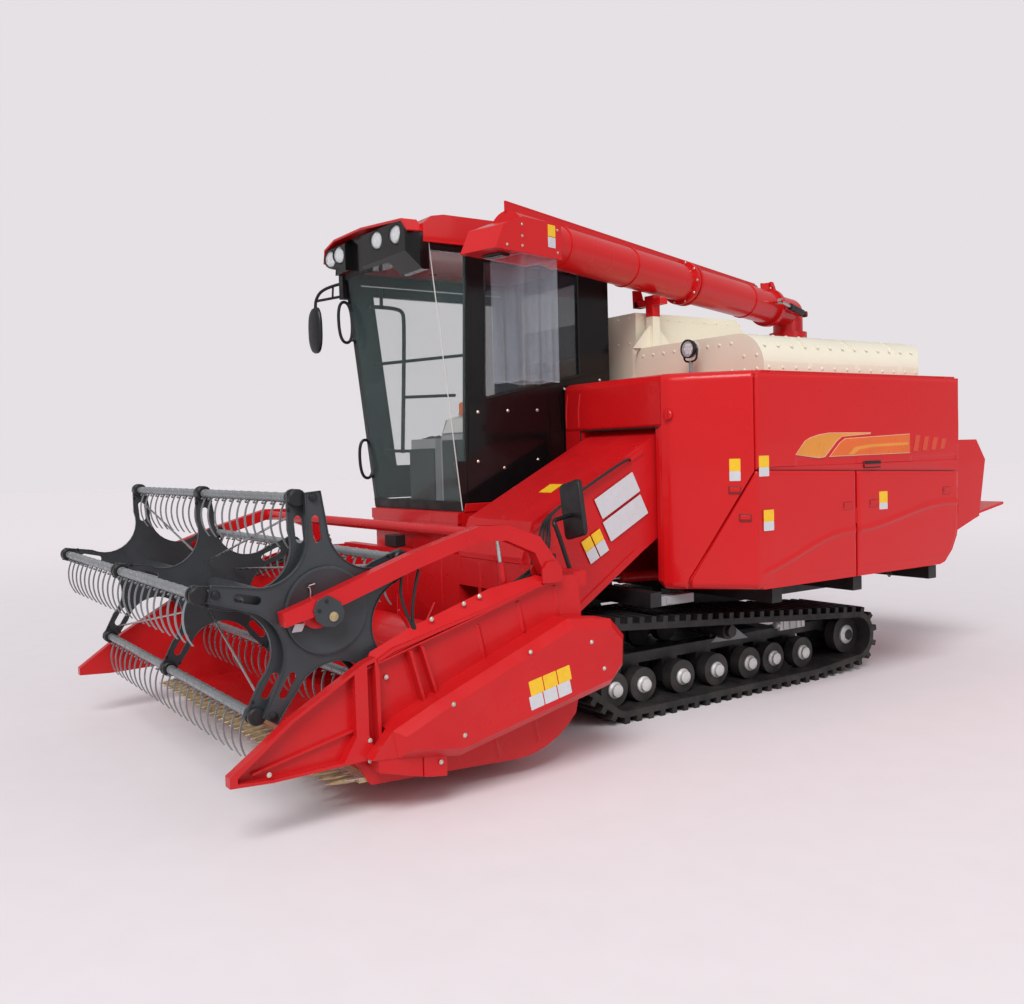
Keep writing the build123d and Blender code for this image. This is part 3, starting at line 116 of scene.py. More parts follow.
SMOOTH = {"relief": 0.001, "rough_vary": 0.05}
PRINT = {"coat": 0.4, "vary": 0.06, "relief": 0.004}
PANE = {"spots": 1.5, "grain": 3, "relief": 0.0005, "rough_vary": 0.02, "shine": 1.0}
M = {
    "red": material("red_gloss", (0.60, 0.007, 0.009), 0.30, coat=0.28, vary=0.03, spots=1.2, grain=700,
                    relief=0.0008, rough_vary=0.05, shine=0.3),
    "red_header": material("red_header", (0.56, 0.008, 0.011), 0.36, coat=0.15, vary=0.05, spots=3.0, grain=220,
                           relief=0.006, dust=0.04, shine=0.3),
    "cream": material("cream_gloss", (0.82, 0.77, 0.62), 0.34, coat=0.3, vary=0.03, spots=1.5, grain=600,
                      relief=0.001, rough_vary=0.06),
    "frame_black": material("frame_black", (0.012, 0.012, 0.013), 0.42, vary=0.3, dust=0.10),
    "cab_black": material("cab_black", (0.006, 0.0055, 0.006), 0.2, coat=0.15, vary=0.3, spots=1.5, shine=0.3,
                          **SMOOTH),
    "reel": material("reel_black", (0.035, 0.040, 0.045), 0.38, vary=0.15, relief=0.012),
    "bar": material("bar_grey", (0.26, 0.28, 0.29), 0.30, metal=0.45, vary=0.10, relief=0.012),
    "steel": material("bright_steel", (0.55, 0.55, 0.54), 0.28, metal=1.0, vary=0.1, spots=20, relief=0.008),
    "zinc": material("zinc_plate", (0.62, 0.60, 0.52), 0.35, metal=0.9, vary=0.12, spots=40, relief=0.01),
    "cast": material("cast_black", (0.014, 0.014, 0.015), 0.5, vary=0.3, relief=0.05, grain=260, dust=0.12),
    "chrome": material("lamp_reflector", (0.86, 0.87, 0.88), 0.22, metal=0.35, vary=0.05, spots=40, relief=0.004),
    "hub": material("hub_silver", (0.66, 0.66, 0.65), 0.4, metal=0.35, vary=0.12, relief=0.03, grain=300),
    "rubber": material("track_rubber", (0.010, 0.010, 0.011), 0.6, vary=0.35, spots=12, relief=0.06, grain=380,
                       dust=0.10),
    "seal": material("seal_rubber", (0.012, 0.012, 0.012), 0.55, vary=0.2),
    "plastic": material("black_plastic", (0.014, 0.014, 0.015), vary=0.2, grain=900, shine=0.4),
    "gloss_plastic": material("gloss_black", (0.006, 0.006, 0.0065), 0.16, coat=0.2, vary=0.2, shine=0.3, **SMOOTH),
    "grey": material("grey_plastic", (0.30, 0.31, 0.32), 0.5, relief=0.03, grain=800),
    "pale": material("pale_plastic", (0.66, 0.66, 0.64), 0.45, vary=0.06, grain=700),
    "white": material("plate_white", (0.60, 0.61, 0.64), 0.35, vary=0.03, spots=30, relief=0.004),
    "yellow": material("plate_yellow", (0.85, 0.52, 0.02), 0.35, vary=0.05, spots=30, relief=0.004),
    "orange": material("stripe_orange", (0.72, 0.125, 0.012), 0.28, **PRINT),
    "gold": material("stripe_gold", (0.72, 0.27, 0.03), 0.28, coat=0.4, relief=0.004),
    "edging": material("stripe_edging", (0.74, 0.38, 0.24), 0.3, **PRINT),
    "ember": material("stripe_ember", (0.62, 0.050, 0.012), 0.3, **PRINT),
    "latch": material("latch_red", (0.20, 0.004, 0.005), coat=0.2, vary=0.1, relief=0.01),
    "brass": material("guard_brass", (0.52, 0.42, 0.24), metal=0.8, vary=0.15, spots=25),
    "cloth": material("seat_cloth", (0.035, 0.036, 0.040), 0.85, vary=0.2, spots=60, relief=0.1, sheen=0.4,
                      weave=260),
    "lamp": material("lamp_glass", (0.92, 0.94, 0.96), 0.06, vary=0.03, relief=0.006, alpha=0.25, coat=0.5),
    "mirror": material("mirror_face", (0.88, 0.90, 0.92), 0.04, metal=1.0, vary=0.02, relief=0.001, rough_vary=0.02),
    "screen": material("screen_glass", (0.20, 0.32, 0.31), 0.04, vary=0.05, ior=1.5, alpha=0.12, **PANE),
    # side and rear window glass: the dark colour is the glass's tint, and the bluish cast in it is a painted
    # reflection
    "tint_and_reflection": material("tinted_glass", (0.020, 0.030, 0.038), 0.04, coat=0.6, vary=0.1, alpha=0.48, **PANE),
    "curtain": material("clear_curtain", (0.72, 0.80, 0.92), 0.12, coat=0.5, spots=9, grain=12, relief=0.01,
                        alpha=0.13, shine=1.0),
    "hose": material("hose_rubber", (0.015, 0.015, 0.016), 0.45, vary=0.2, relief=0.04, grain=1200),
}

NODE_LOOKS = {
    "frame_black": "main_frame track_frames boarding_step boom_lift_barrel",
    "rubber": "track_left track_right",
    "cast": "track_wheels drive_sprockets transmission engine_block",
    "red": "cab_base cab_roof thresher_body front_cowl side_panel side_door_front side_door_rear straw_chute "
           "auger_riser auger_elbow auger_tube",
    "cream": "thresher_cover grain_tank tank_top auger_rest",
    "cab_black": "cab_frame cab_door",
    "tint_and_reflection": "cab_glass",
    "screen": "cab_door_glass",
    "gloss_plastic": "lamp_visor",
    "lamp": "work_lamps",
    "cloth": "seat_pads",
    "grey": "console",
    "plastic": "mirror_right mirror_left handrails",
    "curtain": "spout_curtain",
    "steel": "boom_lift_rod header_lift_rod reel_lift_rod",
    "red_header": "feeder_house header_frame header_sides dividers drive_covers header_auger reel_arms "
                  "header_lift_barrel reel_lift_barrel",
    "brass": "knife_bar",
    "reel": "reel_spiders reel_eccentric cam_disc",
    "bar": "tine_bar_1 tine_bar_2 tine_bar_3 tine_bar_4 tine_bar_5",
}
for look, names in NODE_LOOKS.items():
    for node in names.split():
        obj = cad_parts.get(node)
        if obj is not None:
            obj.data.materials.clear()
            obj.data.materials.append(M[look])


# Mesh building, with every length in millimetres
AXES = {"x": Vector((1, 0, 0)), "y": Vector((0, 1, 0)), "z": Vector((0, 0, 1))}
SHARP = math.radians(35)


def mm(p):
    return Vector(p) / 1000


def rect(a0, b0, a1, b1):
    """The corners of a rectangle, in the plane that an outline is drawn in."""
    return [(a0, b0), (a1, b0), (a1, b1), (a0, b1)]


def basis(axis):
    """Two directions across an axis."""
    axis = axis.normalized()
    ref = Vector((0, 0, 1)) if abs(axis.z) < 0.9 else Vector((1, 0, 0))
    u = ref.cross(axis).normalized()
    return u, axis.cross(u).normalized()


class Shape:
    def __init__(self):
        self.bm = bmesh.new()

    def loops(self, rings, closed=False, caps=True):
        made = [[self.bm.verts.new(p) for p in ring] for ring in rings]
        n = len(made[0])
        pairs = list(zip(made, made[1:]))
        if closed:
            pairs.append((made[-1], made[0]))
        for a, b in pairs:
            for i in range(n):
                j = (i + 1) % n
                self.bm.faces.new((a[i], a[j], b[j], b[i]))
        if caps and not closed:
            self.bm.faces.new(list(reversed(made[0])))
            self.bm.faces.new(made[-1])
        return self

    def prism(self, axis, outline, a, b):
        """An outline in the plane across x, y or z, carried from a to b. Across x it is (y, z), across y (x, z)."""
        place = {"x": lambda p, t: (t, p[0], p[1]), "y": lambda p, t: (p[0], t, p[1]), "z": lambda p,
                 t: (p[0], p[1], t)}
        return self.loops([[mm(place[axis](p, t)) for p in outline] for t in (a, b)])

    def box(self, low, high):
        x0, y0, z0 = low
        x1, y1, z1 = high
        return self.prism("z", rect(x0, y0, x1, y1), z0, z1)

    def lathe(self, centre, axis, profile, sides=24):
        """A turned form: profile is (radius, distance along the axis)."""
        axis = AXES[axis] if isinstance(axis, str) else Vector(axis).normalized()
        u, v = basis(axis)
        centre = mm(centre)
        rings = []
        for radius, run in profile:
            rings.append([centre + axis * run / 1000 + (u * math.cos(t) + v * math.sin(t)) * max(radius, 0.05) / 1000
                          for t in (math.tau * i / sides for i in range(sides))])
        return self.loops(rings)

    def tube(self, points, radius, sides=10, closed=False, smooth=0):
        """A round bar along points; smooth rounds its corners with that many cuts."""
        pts = [mm(p) for p in points]
        for _ in range(smooth):
            out = [] if closed else [pts[0]]
            pairs = list(zip(pts, pts[1:])) + ([(pts[-1], pts[0])] if closed else [])
            for a, b in pairs:
                out += [a.lerp(b, 0.25), a.lerp(b, 0.75)]
            pts = out if closed else out + [pts[-1]]
        n = len(pts)
        rings = []
        u = None
        for i, p in enumerate(pts):
            before = pts[(i - 1) % n] if closed or i else p
            after = pts[(i + 1) % n] if closed or i < n - 1 else p
            run = (after - before).normalized()
            if u is None:
                u = basis(run)[0]
            u = (u - run * u.dot(run)).normalized()
            v = run.cross(u)
            rings.append([p + (u * math.cos(t) + v * math.sin(t)) * radius / 1000
                          for t in (math.tau * k / sides for k in range(sides))])
        return self.loops(rings, closed=closed)

    def bolt(self, spot, axis, size=9, sign=1):
        """A washer and a hex head with a chamfered top."""
        axis = (AXES[axis] if isinstance(axis, str) else Vector(axis)) * sign
        self.lathe(spot, axis, [(size * 1.25, 0), (size * 1.25, 2), (size * 1.1, 2.6)], 16)
        return self.lathe(spot, axis, [(size, 2.4), (size, size * 0.7), (size * 0.82, size * 0.85)], 6)

    def plate(self, spot, u, v, width, height, thick, corner=8, cuts=4):
        """A thin plate with round corners, centred on spot, spread along u and v."""
        u, v = Vector(u).normalized(), Vector(v).normalized()
        normal = u.cross(v)
        ring = []
        for cx, cy, start in ((1, 1, 0), (-1, 1, 90), (-1, -1, 180), (1, -1, 270)):
            for k in range(cuts + 1):
                t = math.radians(start + 90 * k / cuts)
                ring.append((cx * (width / 2 - corner) + corner * math.cos(t),
                            cy * (height / 2 - corner) + corner * math.sin(t)))
        spot = mm(spot)
        return self.loops([[spot + (u * a + v * b + normal * t) / 1000 for a, b in ring] for t in (0, thick)])


def piece(shape, name, look, body="machine", bevel=0.0, cuts=2, replaces=()):
    """Make an object of a shape, in a look, riding a body, with its sharp edges cut by bevel millimetres."""
    bmesh.ops.remove_doubles(shape.bm, verts=shape.bm.verts, dist=1e-6)
    bmesh.ops.recalc_face_normals(shape.bm, faces=shape.bm.faces)
    mesh = bpy.data.meshes.new(name)
    shape.bm.to_mesh(mesh)
    shape.bm.free()
    obj = bpy.data.objects.new(name, mesh)
    scene.collection.objects.link(obj)
    obj.data.materials.append(M[look])
    for p in mesh.polygons:
        p.use_smooth = True
    mesh.set_sharp_from_angle(angle=SHARP)
    if bevel:
        mod = obj.modifiers.new("edges", "BEVEL")
        mod.width = bevel / 1000
        mod.segments = cuts
        mod.limit_method = "ANGLE"
        mod.angle_limit = SHARP
    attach(obj, body)
    for node in replaces:
        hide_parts(node)
    return obj


# Camera, at the photograph's place
camera_data = bpy.data.cameras.new("camera")
camera = bpy.data.objects.new("camera", camera_data)
scene.collection.objects.link(camera)
rows = ((0.56815453, -0.02304666, 0.8225991, 4.90651), (0.82245969, 0.04940058, -0.56667419, -3.94872),
        (-0.02757692, 0.99851311, 0.04702211, 1.45), (0, 0, 0, 1))
camera.matrix_world = Matrix(rows)
camera_data.sensor_fit = "HORIZONTAL"
camera_data.sensor_width = 36
camera_data.lens = 35.4519
camera_data.clip_end = 200
scene.camera = camera
scene.view_settings.view_transform = "Standard"

# Floor, world and soft lamps
floor_mesh = bpy.data.meshes.new("floor")
floor_mesh.from_pydata([(-60, -60, 0), (60, -60, 0), (60, 60, 0), (-60, 60, 0)], [], [(0, 1, 2, 3)])
floor = bpy.data.objects.new("floor", floor_mesh)
scene.collection.objects.link(floor)
floor_look = material("floor_pale", (0.80, 0.76, 0.785), 0.9, vary=0.01, relief=0.004, grain=40)
fn, fl = floor_look.node_tree.nodes, floor_look.node_tree.links
spot_of = fn.new("ShaderNodeTexCoord")
reach = fn.new("ShaderNodeVectorMath")
reach.operation = "LENGTH"
fl.new(spot_of.outputs["Object"], reach.inputs[0])
far = fn.new("ShaderNodeMapRange")
far.interpolation_type = "SMOOTHSTEP"
fill(far, From_Min=1.5, From_Max=16.0, To_Min=0.0, To_Max=0.13)
fl.new(reach.outputs["Value"], far.inputs["Value"])
seen = fn.new("ShaderNodeLightPath")
glow = fn.new("ShaderNodeMath")
glow.operation = "MULTIPLY"
fl.new(far.outputs["Result"], glow.inputs[0])
fl.new(seen.outputs["Is Camera Ray"], glow.inputs[1])
fill(fn["Principled BSDF"], Emission_Color=(1, 0.955, 0.985, 1))
fl.new(glow.outputs["Value"], fn["Principled BSDF"].inputs["Emission Strength"])
floor.data.materials.append(floor_look)

world = bpy.data.worlds.new("world")
world.use_nodes = True
scene.world = world
wn, wl = world.node_tree.nodes, world.node_tree.links
background = wn["Background"]
light_path = wn.new("ShaderNodeLightPath")
strength = wn.new("ShaderNodeMapRange")
fill(strength, To_Min=0.46, To_Max=0.80)
wl.new(light_path.outputs["Is Camera Ray"], strength.inputs["Value"])
fill(background, Color=(0.98, 0.94, 0.97, 1))
wl.new(strength.outputs["Result"], background.inputs["Strength"])


def light(name, kind, power):
    data = bpy.data.lights.new(name, kind)
    data.energy = power
    obj = bpy.data.objects.new(name, data)
    scene.collection.objects.link(obj)
    return obj


def aim(obj, direction):
    obj.rotation_euler = Vector(direction).to_track_quat("-Z", "Y").to_euler()


for name, spot, target, power in (("key", (5.5, -6.0, 7.0), (0, -0.5, 1.0), 150),
                                  ("side", (8.5, 1.5, 4.5), (0, 0, 1.0), 70)):
    lamp = light(name, "AREA", power)
    lamp.data.shape = "RECTANGLE"
    lamp.data.size, lamp.data.size_y = 5, 4
    lamp.location = spot
    aim(lamp, Vector(target) - Vector(spot))
sun = light("sky_sun", "SUN", 1.75)
sun.data.angle = math.radians(28)
aim(sun, (-0.55, 0.5, -0.8))


def bolts(name, body, axis, size, spots, sign=1, look="zinc"):
    s = Shape()
    for spot in spots:
        s.bolt(spot, axis, size, sign)
    piece(s, name, look, body)


def across(points, x0, x1, rim):
    """A closed ribbon round an outline given as (y, z), from x0 to x1, rim thick inward."""
    s = Shape()
    n = len(points)
    rings = []
    for i, (y, z) in enumerate(points):
        a, b = Vector(points[i - 1]), Vector(points[(i + 1) % n])
        run = (b - a).normalized()
        inward = Vector((-run.y, run.x)) * rim
        rings.append([mm((x0, y, z)), mm((x1, y, z)), mm((x1, y + inward.x, z + inward.y)),
                     mm((x0, y + inward.x, z + inward.y))])
    s.loops(rings, closed=True)
    return s


# Reel: pressed rims on the plates, clamps at the bar ends, bracing rods and the fixed disc's fittings
REEL_Y, REEL_Z, BAR_R, PHASE, CRANK = -2365, 854, 450, 94.63, 55
SPIDER_HUB, ECCENTRIC_HUB, DISC_X, TINE_PITCH = 185, 210, 1190, 100
BAR_ANGLES = [PHASE + 72 * k for k in range(5)]
SPIDERS = {"left": 1150, "middle": -4, "right": -1172}


def polar(centre_y, radius, angle):
    """A point (y, z) round the shaft's height, the angle in degrees from +Y."""
    t = math.radians(angle)
    return (centre_y + radius * math.cos(t), REEL_Z + radius * math.sin(t))


def spider_outline(centre_y, hub):
    """A five-armed plate: flat arm tips, with arcs between them that touch the hub's radius."""
    pts = []
    tip, flank = BAR_R + 25, BAR_R - 120
    tip_turn, flank_turn = math.degrees(math.atan2(34, tip)), math.degrees(math.atan2(46, flank))
    for angle in BAR_ANGLES:
        for radius, turn in ((flank, -flank_turn), (tip, -tip_turn), (tip, tip_turn), (flank, flank_turn)):
            pts.append(polar(centre_y, radius, angle + turn))
        a = Vector(polar(centre_y, flank, angle + flank_turn))
        m = Vector(polar(centre_y, hub, angle + 36))
        b = Vector(polar(centre_y, flank, angle + 72 - flank_turn))
        # the circle through a, m and b, followed from a to b
        d = 2 * (a.x * (m.y - b.y) + m.x * (b.y - a.y) + b.x * (a.y - m.y))
        ux = (a.length_squared * (m.y - b.y) + m.length_squared * (b.y - a.y) + b.length_squared * (a.y - m.y)) / d
        uy = (a.length_squared * (b.x - m.x) + m.length_squared * (a.x - b.x) + b.length_squared * (m.x - a.x)) / d
        c = Vector((ux, uy))
        t0, tm, t1 = (math.atan2(*reversed(p - c)) for p in (a, m, b))
        while tm > t0:
            tm -= math.tau
        while t1 > tm:
            t1 -= math.tau
        for i in range(1, 12):
            t = t0 + (t1 - t0) * i / 12
            pts.append((c.x + (a - c).length * math.cos(t), c.y + (a - c).length * math.sin(t)))
    return pts


for tag, x in SPIDERS.items():
    piece(across(spider_outline(REEL_Y, SPIDER_HUB), x - 8, x + 10, 4), f"reel_rim_{tag}", "reel", "reel", bevel=2.5)
piece(across(spider_outline(REEL_Y + CRANK, ECCENTRIC_HUB), DISC_X, DISC_X + 20, 4), "eccentric_rim", "reel",
      "reel_eccentric", bevel=2.5)

clamps, caps, rods = Shape(), Shape(), Shape()
for angle in BAR_ANGLES:
    y, z = polar(REEL_Y, BAR_R, angle)
    for x in SPIDERS.values():
        for side in (-1, 1):
            inner = x + 4 + side * 8
            clamps.lathe((inner, y, z), (side, 0, 0), [(23, 0), (36, 1), (36, 20), (30, 26), (22, 26)], 20)
        for turn in (-5, 5):
            by, bz = polar(REEL_Y, BAR_R - 42, angle + turn)
            clamps.bolt((x + 8, by, bz), "x", 6)
    caps.lathe((1206, y + CRANK, z), "x", [(17, 0), (17, 5), (11, 8), (11, 12), (7, 14)], 16)
    for x0, x1 in ((1140, 20), (-1160, -20)):
        a = polar(REEL_Y, BAR_R - 60, angle)
        b = polar(REEL_Y, 120, angle + 12)
        rods.tube([(x0, *a), (x1, *b)], 5, 8)
piece(clamps, "bar_clamps", "plastic", "reel", bevel=1)
piece(rods, "bracing_rods", "steel", "reel")
piece(caps, "crank_caps", "plastic", "reel_eccentric")

for k, angle in enumerate(BAR_ANGLES, 1):
    y, z = polar(REEL_Y, BAR_R, angle)
    coils = Shape()
    for i in range(22):
        x = (i - 10.5) * TINE_PITCH
        coils.lathe((x - 5, y, z), "x", [(19.5, 0), (21.8, 1), (21.8, 9), (19.5, 10)], 14)
        coils.tube([(x - 3, y - 2, z - 23), (x - 10, y - 14, z - 30), (x - 3, y - 22, z - 24),
                   (x + 4, y - 14, z - 20)], 3, 6, smooth=1)
    piece(coils, f"tine_clips_{k}", "bar", f"tine_bar_{k}")

disc = Shape()
disc.lathe((DISC_X, REEL_Y + CRANK, REEL_Z), "x", [(175.5, 0), (175.5, 25.5), (171, 27.5), (164, 27.5), (161, 26),
           (20, 26)], 96)
piece(disc, "cam_disc_face", "reel", "reel_arms", replaces=("cam_disc",))
plate_shape = Shape()
plate_shape.prism("x", [(-2378, 908), (-2396, 866), (-2384, 826), (-2350, 800), (-2306, 794), (-2272, 816),
                  (-2262, 852), (-2280, 892), (-2330, 922)], 1277, 1284)
piece(plate_shape, "bearing_plate", "reel", "reel_arms", bevel=3)
piece(Shape().lathe((1284, -2313, 838), "x", [(19, 0), (19, 4), (14, 5), (14, 10), (9, 12), (3, 13)], 24),
      "bearing_cap", "brass", "reel_arms")
bolts("bearing_bolts", "reel_arms", "x", 6, [(1284, -2372, 866), (1284, -2340, 900)], look="plastic")
piece(Shape().tube([(1220, -2380, 905), (1226, -2380, 950), (1226, -2396, 958), (1226, -2362, 966)], 4, 8, smooth=1),
      "set_lever", "steel", "reel_arms")
piece(Shape().plate((1218, -2433, 799), (0, 1, 0), (0, 0.45, 0.9), 42, 34, 1.2, 3), "blank_tag", "white", "reel_arms")

# Header: beads on the side sheets, folded top rail, link box, channel and bolts, on both sides
for sign, tag in ((1, "left"), (-1, "right")):
    def x(v):
        return sign * v

    def span(a, b):
        return sorted((x(a), x(b)))

    rails = Shape()
    for y0, z0, y1, z1 in ((-1631, 720, -1593, 560), (-1416, 800, -1383, 660), (-1564, 235, -1533, 118),
                           (-1345, 270, -1319, 152), (-1210, 850, -1190, 700)):
        run = Vector((0, y1 - y0, z1 - z0)).normalized()
        wide = Vector((0, -run.z, run.y)) * 16
        ring = []
        for spot in (Vector((x(1249), y0, z0)), Vector((x(1249), y1, z1))):
            ring.append([(spot - wide) / 1000, (spot + Vector((x(9), 0, 0))) / 1000, (spot + wide) / 1000])
        rails.loops(ring)
    piece(rails, f"side_beads_{tag}", "red_header", "header", bevel=3)
    rail = Shape()
    fold = [(-2187, 612), (-1984, 676), (-1585, 792), (-1234, 880)]
    top = [(-2140, 668), (-1960, 742), (-1560, 868), (-1300, 905)]
    for i in range(3):
        corners = ((1278, fold[i]), (1278, fold[i + 1]), (1236, top[i + 1]), (1236, top[i]))
        rail.loops([[mm((x(edge - thick), y, z - thick)) for edge, (y, z) in corners] for thick in (0, 4)])
    rail.prism("x", [(-2187, 612), (-1234, 880), (-1234, 872), (-2187, 604)], *span(1252, 1280))
    piece(rail, f"top_fold_{tag}", "red_header", "header", bevel=1)
    channel = Shape()
    for y0, z0, y1, z1 in ((-1990, 660, -1926, 423), (-1935, 672, -1867, 447)):
        channel.prism("x", [(y0, z0), (y0 + 14, z0), (y1 + 14, z1), (y1, z1)], *span(1252, 1296))
    channel.prism("x", [(-1990, 660), (-1921, 672), (-1853, 447), (-1926, 423)], *span(1251, 1256))
    piece(channel, f"side_channel_{tag}", "red_header", "header", bevel=2)
    link = Shape()
    link.prism("x", [(-2172, 285), (-1975, 258), (-1975, 150), (-2172, 205)], *span(1262, 1356))
    link.prism("x", [(-1974, 258), (-1866, 232), (-1866, 134), (-1974, 150)], *span(1262, 1362))
    piece(link, f"link_box_{tag}", "red_header", "header", bevel=4)
    bolts(f"header_bolts_{tag}", "header", "x", 8, [(x(1301), -2183, 327), (x(1301), -2186, 246),
          (x(1301), -2605, 275), (x(1258), -1700, 820), (x(1258), -1620, 844), (x(1258), -1860, 772),
          (x(1258), -1560, 520), (x(1258), -2080, 560)], sign)
    bolts(f"pod_bolts_{tag}", "header", "x", 8, [(x(1399), -1850, 437), (x(1399), -1800, 300), (x(1368), -1899, 200),
          (x(1399), -1458, 600), (x(1399), -1120, 600), (x(1399), -1050, 470)], sign)
    plates, whites = Shape(), Shape()
    for i in range(3):
        y, z = -1432 + i * 76, 412 + i * 15
        for shape, dz, h in ((plates, 34, 66), (whites, -30, 60)):
            shape.plate((x(1400.5), y, z + dz), (0, sign, 0.2 * sign), (0, -0.2, 1), 72, h, 0.8, 3)
    piece(plates, f"pod_plates_{tag}", "yellow", "header")
    piece(whites, f"pod_plate_feet_{tag}", "white", "header")
    guide = Shape()
    for radius, run in ((9, ((1190, -1205, 960), (1190, -1330, 880), (1215, -1500, 835), (1215, -1760, 760))),
                        (9, ((1175, -1215, 960), (1175, -1340, 890), (1200, -1510, 820), (1200, -1700, 740))),
                        (7, ((1238, -1903, 985), (1236, -1925, 900), (1237, -1943, 790), (1240, -1930, 735))),
                        (7, ((1238, -1985, 955), (1236, -1992, 880), (1237, -1965, 800), (1240, -1935, 735)))):
        guide.tube([(x(a), y, z) for a, y, z in run], radius, 8, smooth=2)
    piece(guide, f"header_hoses_{tag}", "hose", "header")

BLADE_PITCH, GUARD_PITCH = 41, 76.2
blades = Shape()
for i in range(60):
    x0 = -1220 + i * BLADE_PITCH
    blades.prism("z", [(x0 + 2, -2190), (x0 + 38, -2190), (x0 + 20, -2262)], 158, 161)
piece(blades, "knife_sections", "steel", "header")
guards = Shape()
for i in range(32):
    gx = (i - 15.5) * GUARD_PITCH
    guards.lathe((gx, -2200, 150), (0, -1, 0), [(15, 0), (16, 30), (12, 80), (5, 122), (1.5, 132)], 10)
piece(guards, "knife_guards", "brass", "header")

strips = Shape()
for x0 in (-1180, -780, -380, 20, 420, 820, 1180):
    strips.box((x0 - 12, -1085, 420), (x0 + 12, -1071, 880))
piece(strips, "back_stiffeners", "red_header", "header", bevel=3)
valve = Shape()
valve.box((860, -1060, 905), (980, -990, 960))
valve.box((-700, -1055, 905), (-560, -985, 975))
PORTS = (880, 910, 940, 965)
for vx in PORTS:
    valve.lathe((vx, -1025, 960), "z", [(11, 0), (11, 14), (7, 16), (7, 26)], 10)
piece(valve, "header_valves", "plastic", "header", bevel=3)
lines = Shape()
for i, vx in enumerate(PORTS):
    lines.tube([(vx, -1025, 985), (vx, -1015, 1045), (832, -960 + 12 * i, 1105), (826, -880, 1162),
                (826, -520, 1344 + i), (826, -372, 1412), (812, -352, 1400)], 6.5, 8, smooth=2)
piece(lines, "header_lines", "hose", "header")

# Left mirror on its bent tube
mirror = Shape()
mirror.tube([(1110, -990, 842), (1106, -1000, 880), (1080, -1058, 1090), (1062, -1068, 1128), (1036, -990, 1138),
            (1020, -905, 1150)], 11, 12, smooth=2)
mirror.lathe((1110, -990, 842), "z", [(26, 0), (30, 8), (30, 30), (22, 44)], 20)
mirror.lathe((1104, -1002, 884), (0.1, 0.27, -0.95), [(13, 0), (19, 6), (19, 26), (13, 32)], 16)
piece(mirror, "mirror_left_tube", "plastic", "header", replaces=("mirror_left",))
piece(Shape().plate((1022, -896, 1172), (1, -0.12, 0.22), (-0.24, 0.06, 1), 186, 278, 26, 28, 6), "mirror_left_case",
      "plastic", "header", bevel=6, cuts=3)
bolts("mirror_left_bolts", "header", (-0.12, -1, 0), 7, [(1020, -905, 1150), (1020, -903, 1185)], look="plastic")

# Feeder house plates, on its left side and its top
FEEDER_X = 808.6
along = Vector((0, 0.89, 0.46))
up = Vector((0, -0.46, 0.89))
whites, yellows = Shape(), Shape()
for shape, y, z, wide, high, corner in (
        (whites, -442, 1218, 300, 118, 4), (whites, -388, 1095, 300, 118, 4), (whites, -622, 912, 66, 70, 3),
        (whites, -556, 946, 66, 70, 3), (yellows, -653, 972, 66, 62, 3), (yellows, -587, 1006, 66, 62, 3)):
    shape.plate((FEEDER_X, y, z), along, up, wide, high, 0.8, corner)
yellows.plate((560, -700, 1262.5), (1, 0, 0), along, 110, 90, 0.8, 3)
piece(whites, "feeder_plates", "white", "header")
piece(yellows, "feeder_yellow_plates", "yellow", "header")

# Cab: panes, door rails, grab loops, right mirror, roof lamps, visor and work lamp
def screen_y(z):
    return -915 - 0.1126 * (z - 1130)


def screen_band(z0, z1, front, back, foot=0):
    """The outline of a band that leans as the windscreen does, between two distances from its face."""
    y0, y1 = screen_y(z0), screen_y(z1)
    return [(y0 + front, z0 - foot), (y0 + back, z0 - foot), (y1 + back, z1), (y1 + front, z1)]


piece(Shape().prism("x", screen_band(1136, 2639, 0, 6), -1044, -1), "windscreen", "screen", replaces=("cab_glass",))
for name, look, outline in (
        ("side_window", "tint_and_reflection", [(-746, 1806), (-727, 1778), (-32, 1927), (-32, 2558), (-720, 2558)]),
        ("quarter_window", "screen", [(-930, 1420), (-878, 1420), (-839, 2598), (-1062, 2598)])):
    piece(Shape().prism("x", outline, -20, -14), name, look)
piece(Shape().box((-934, 185, 1901), (-151, 191, 2539)), "rear_window", "tint_and_reflection")
seal = across([(-748, 1805), (-728, 1776), (-30, 1925), (-30, 2560), (-722, 2560)], -4, 3, 14)
piece(seal, "side_window_seal", "seal", bevel=2)

piece(Shape().prism("x", screen_band(1136, 1190, -3, 8, 5), -1085, -2)
      .prism("x", screen_band(2600, 2640, -3, 8), -1085, -2), "windscreen_edges", "seal", bevel=2)
piece(Shape().tube([(0, screen_y(1136) + 2, 1136), (0, screen_y(2639) + 2, 2639)], 3.2, 8), "windscreen_edge", "pale")

rails = Shape()
rails.tube([(-1045, -925, 2436), (-1045, -760, 2436), (-1045, -690, 2420), (-1045, -679, 2360), (-1045, -700, 1900),
           (-1045, -722, 1480)], 13, 12, smooth=2)
rails.tube([(-1052, -905, 2062), (-1045, -905, 2062), (-1045, -210, 2146), (-1052, -210, 2146)], 11, 10, smooth=1)
rails.tube([(-1052, -845, 1497), (-1045, -845, 1497), (-1045, -300, 1481), (-1052, -300, 1481)], 11, 10, smooth=1)
rails.tube([(-1045, -842, 2560), (-1045, -846, 2436)], 12, 10)
rails.tube([(-1045, -690, 1851), (-1045, -300, 1868)], 11, 10)
piece(rails, "door_rails", "plastic", "cab_door")

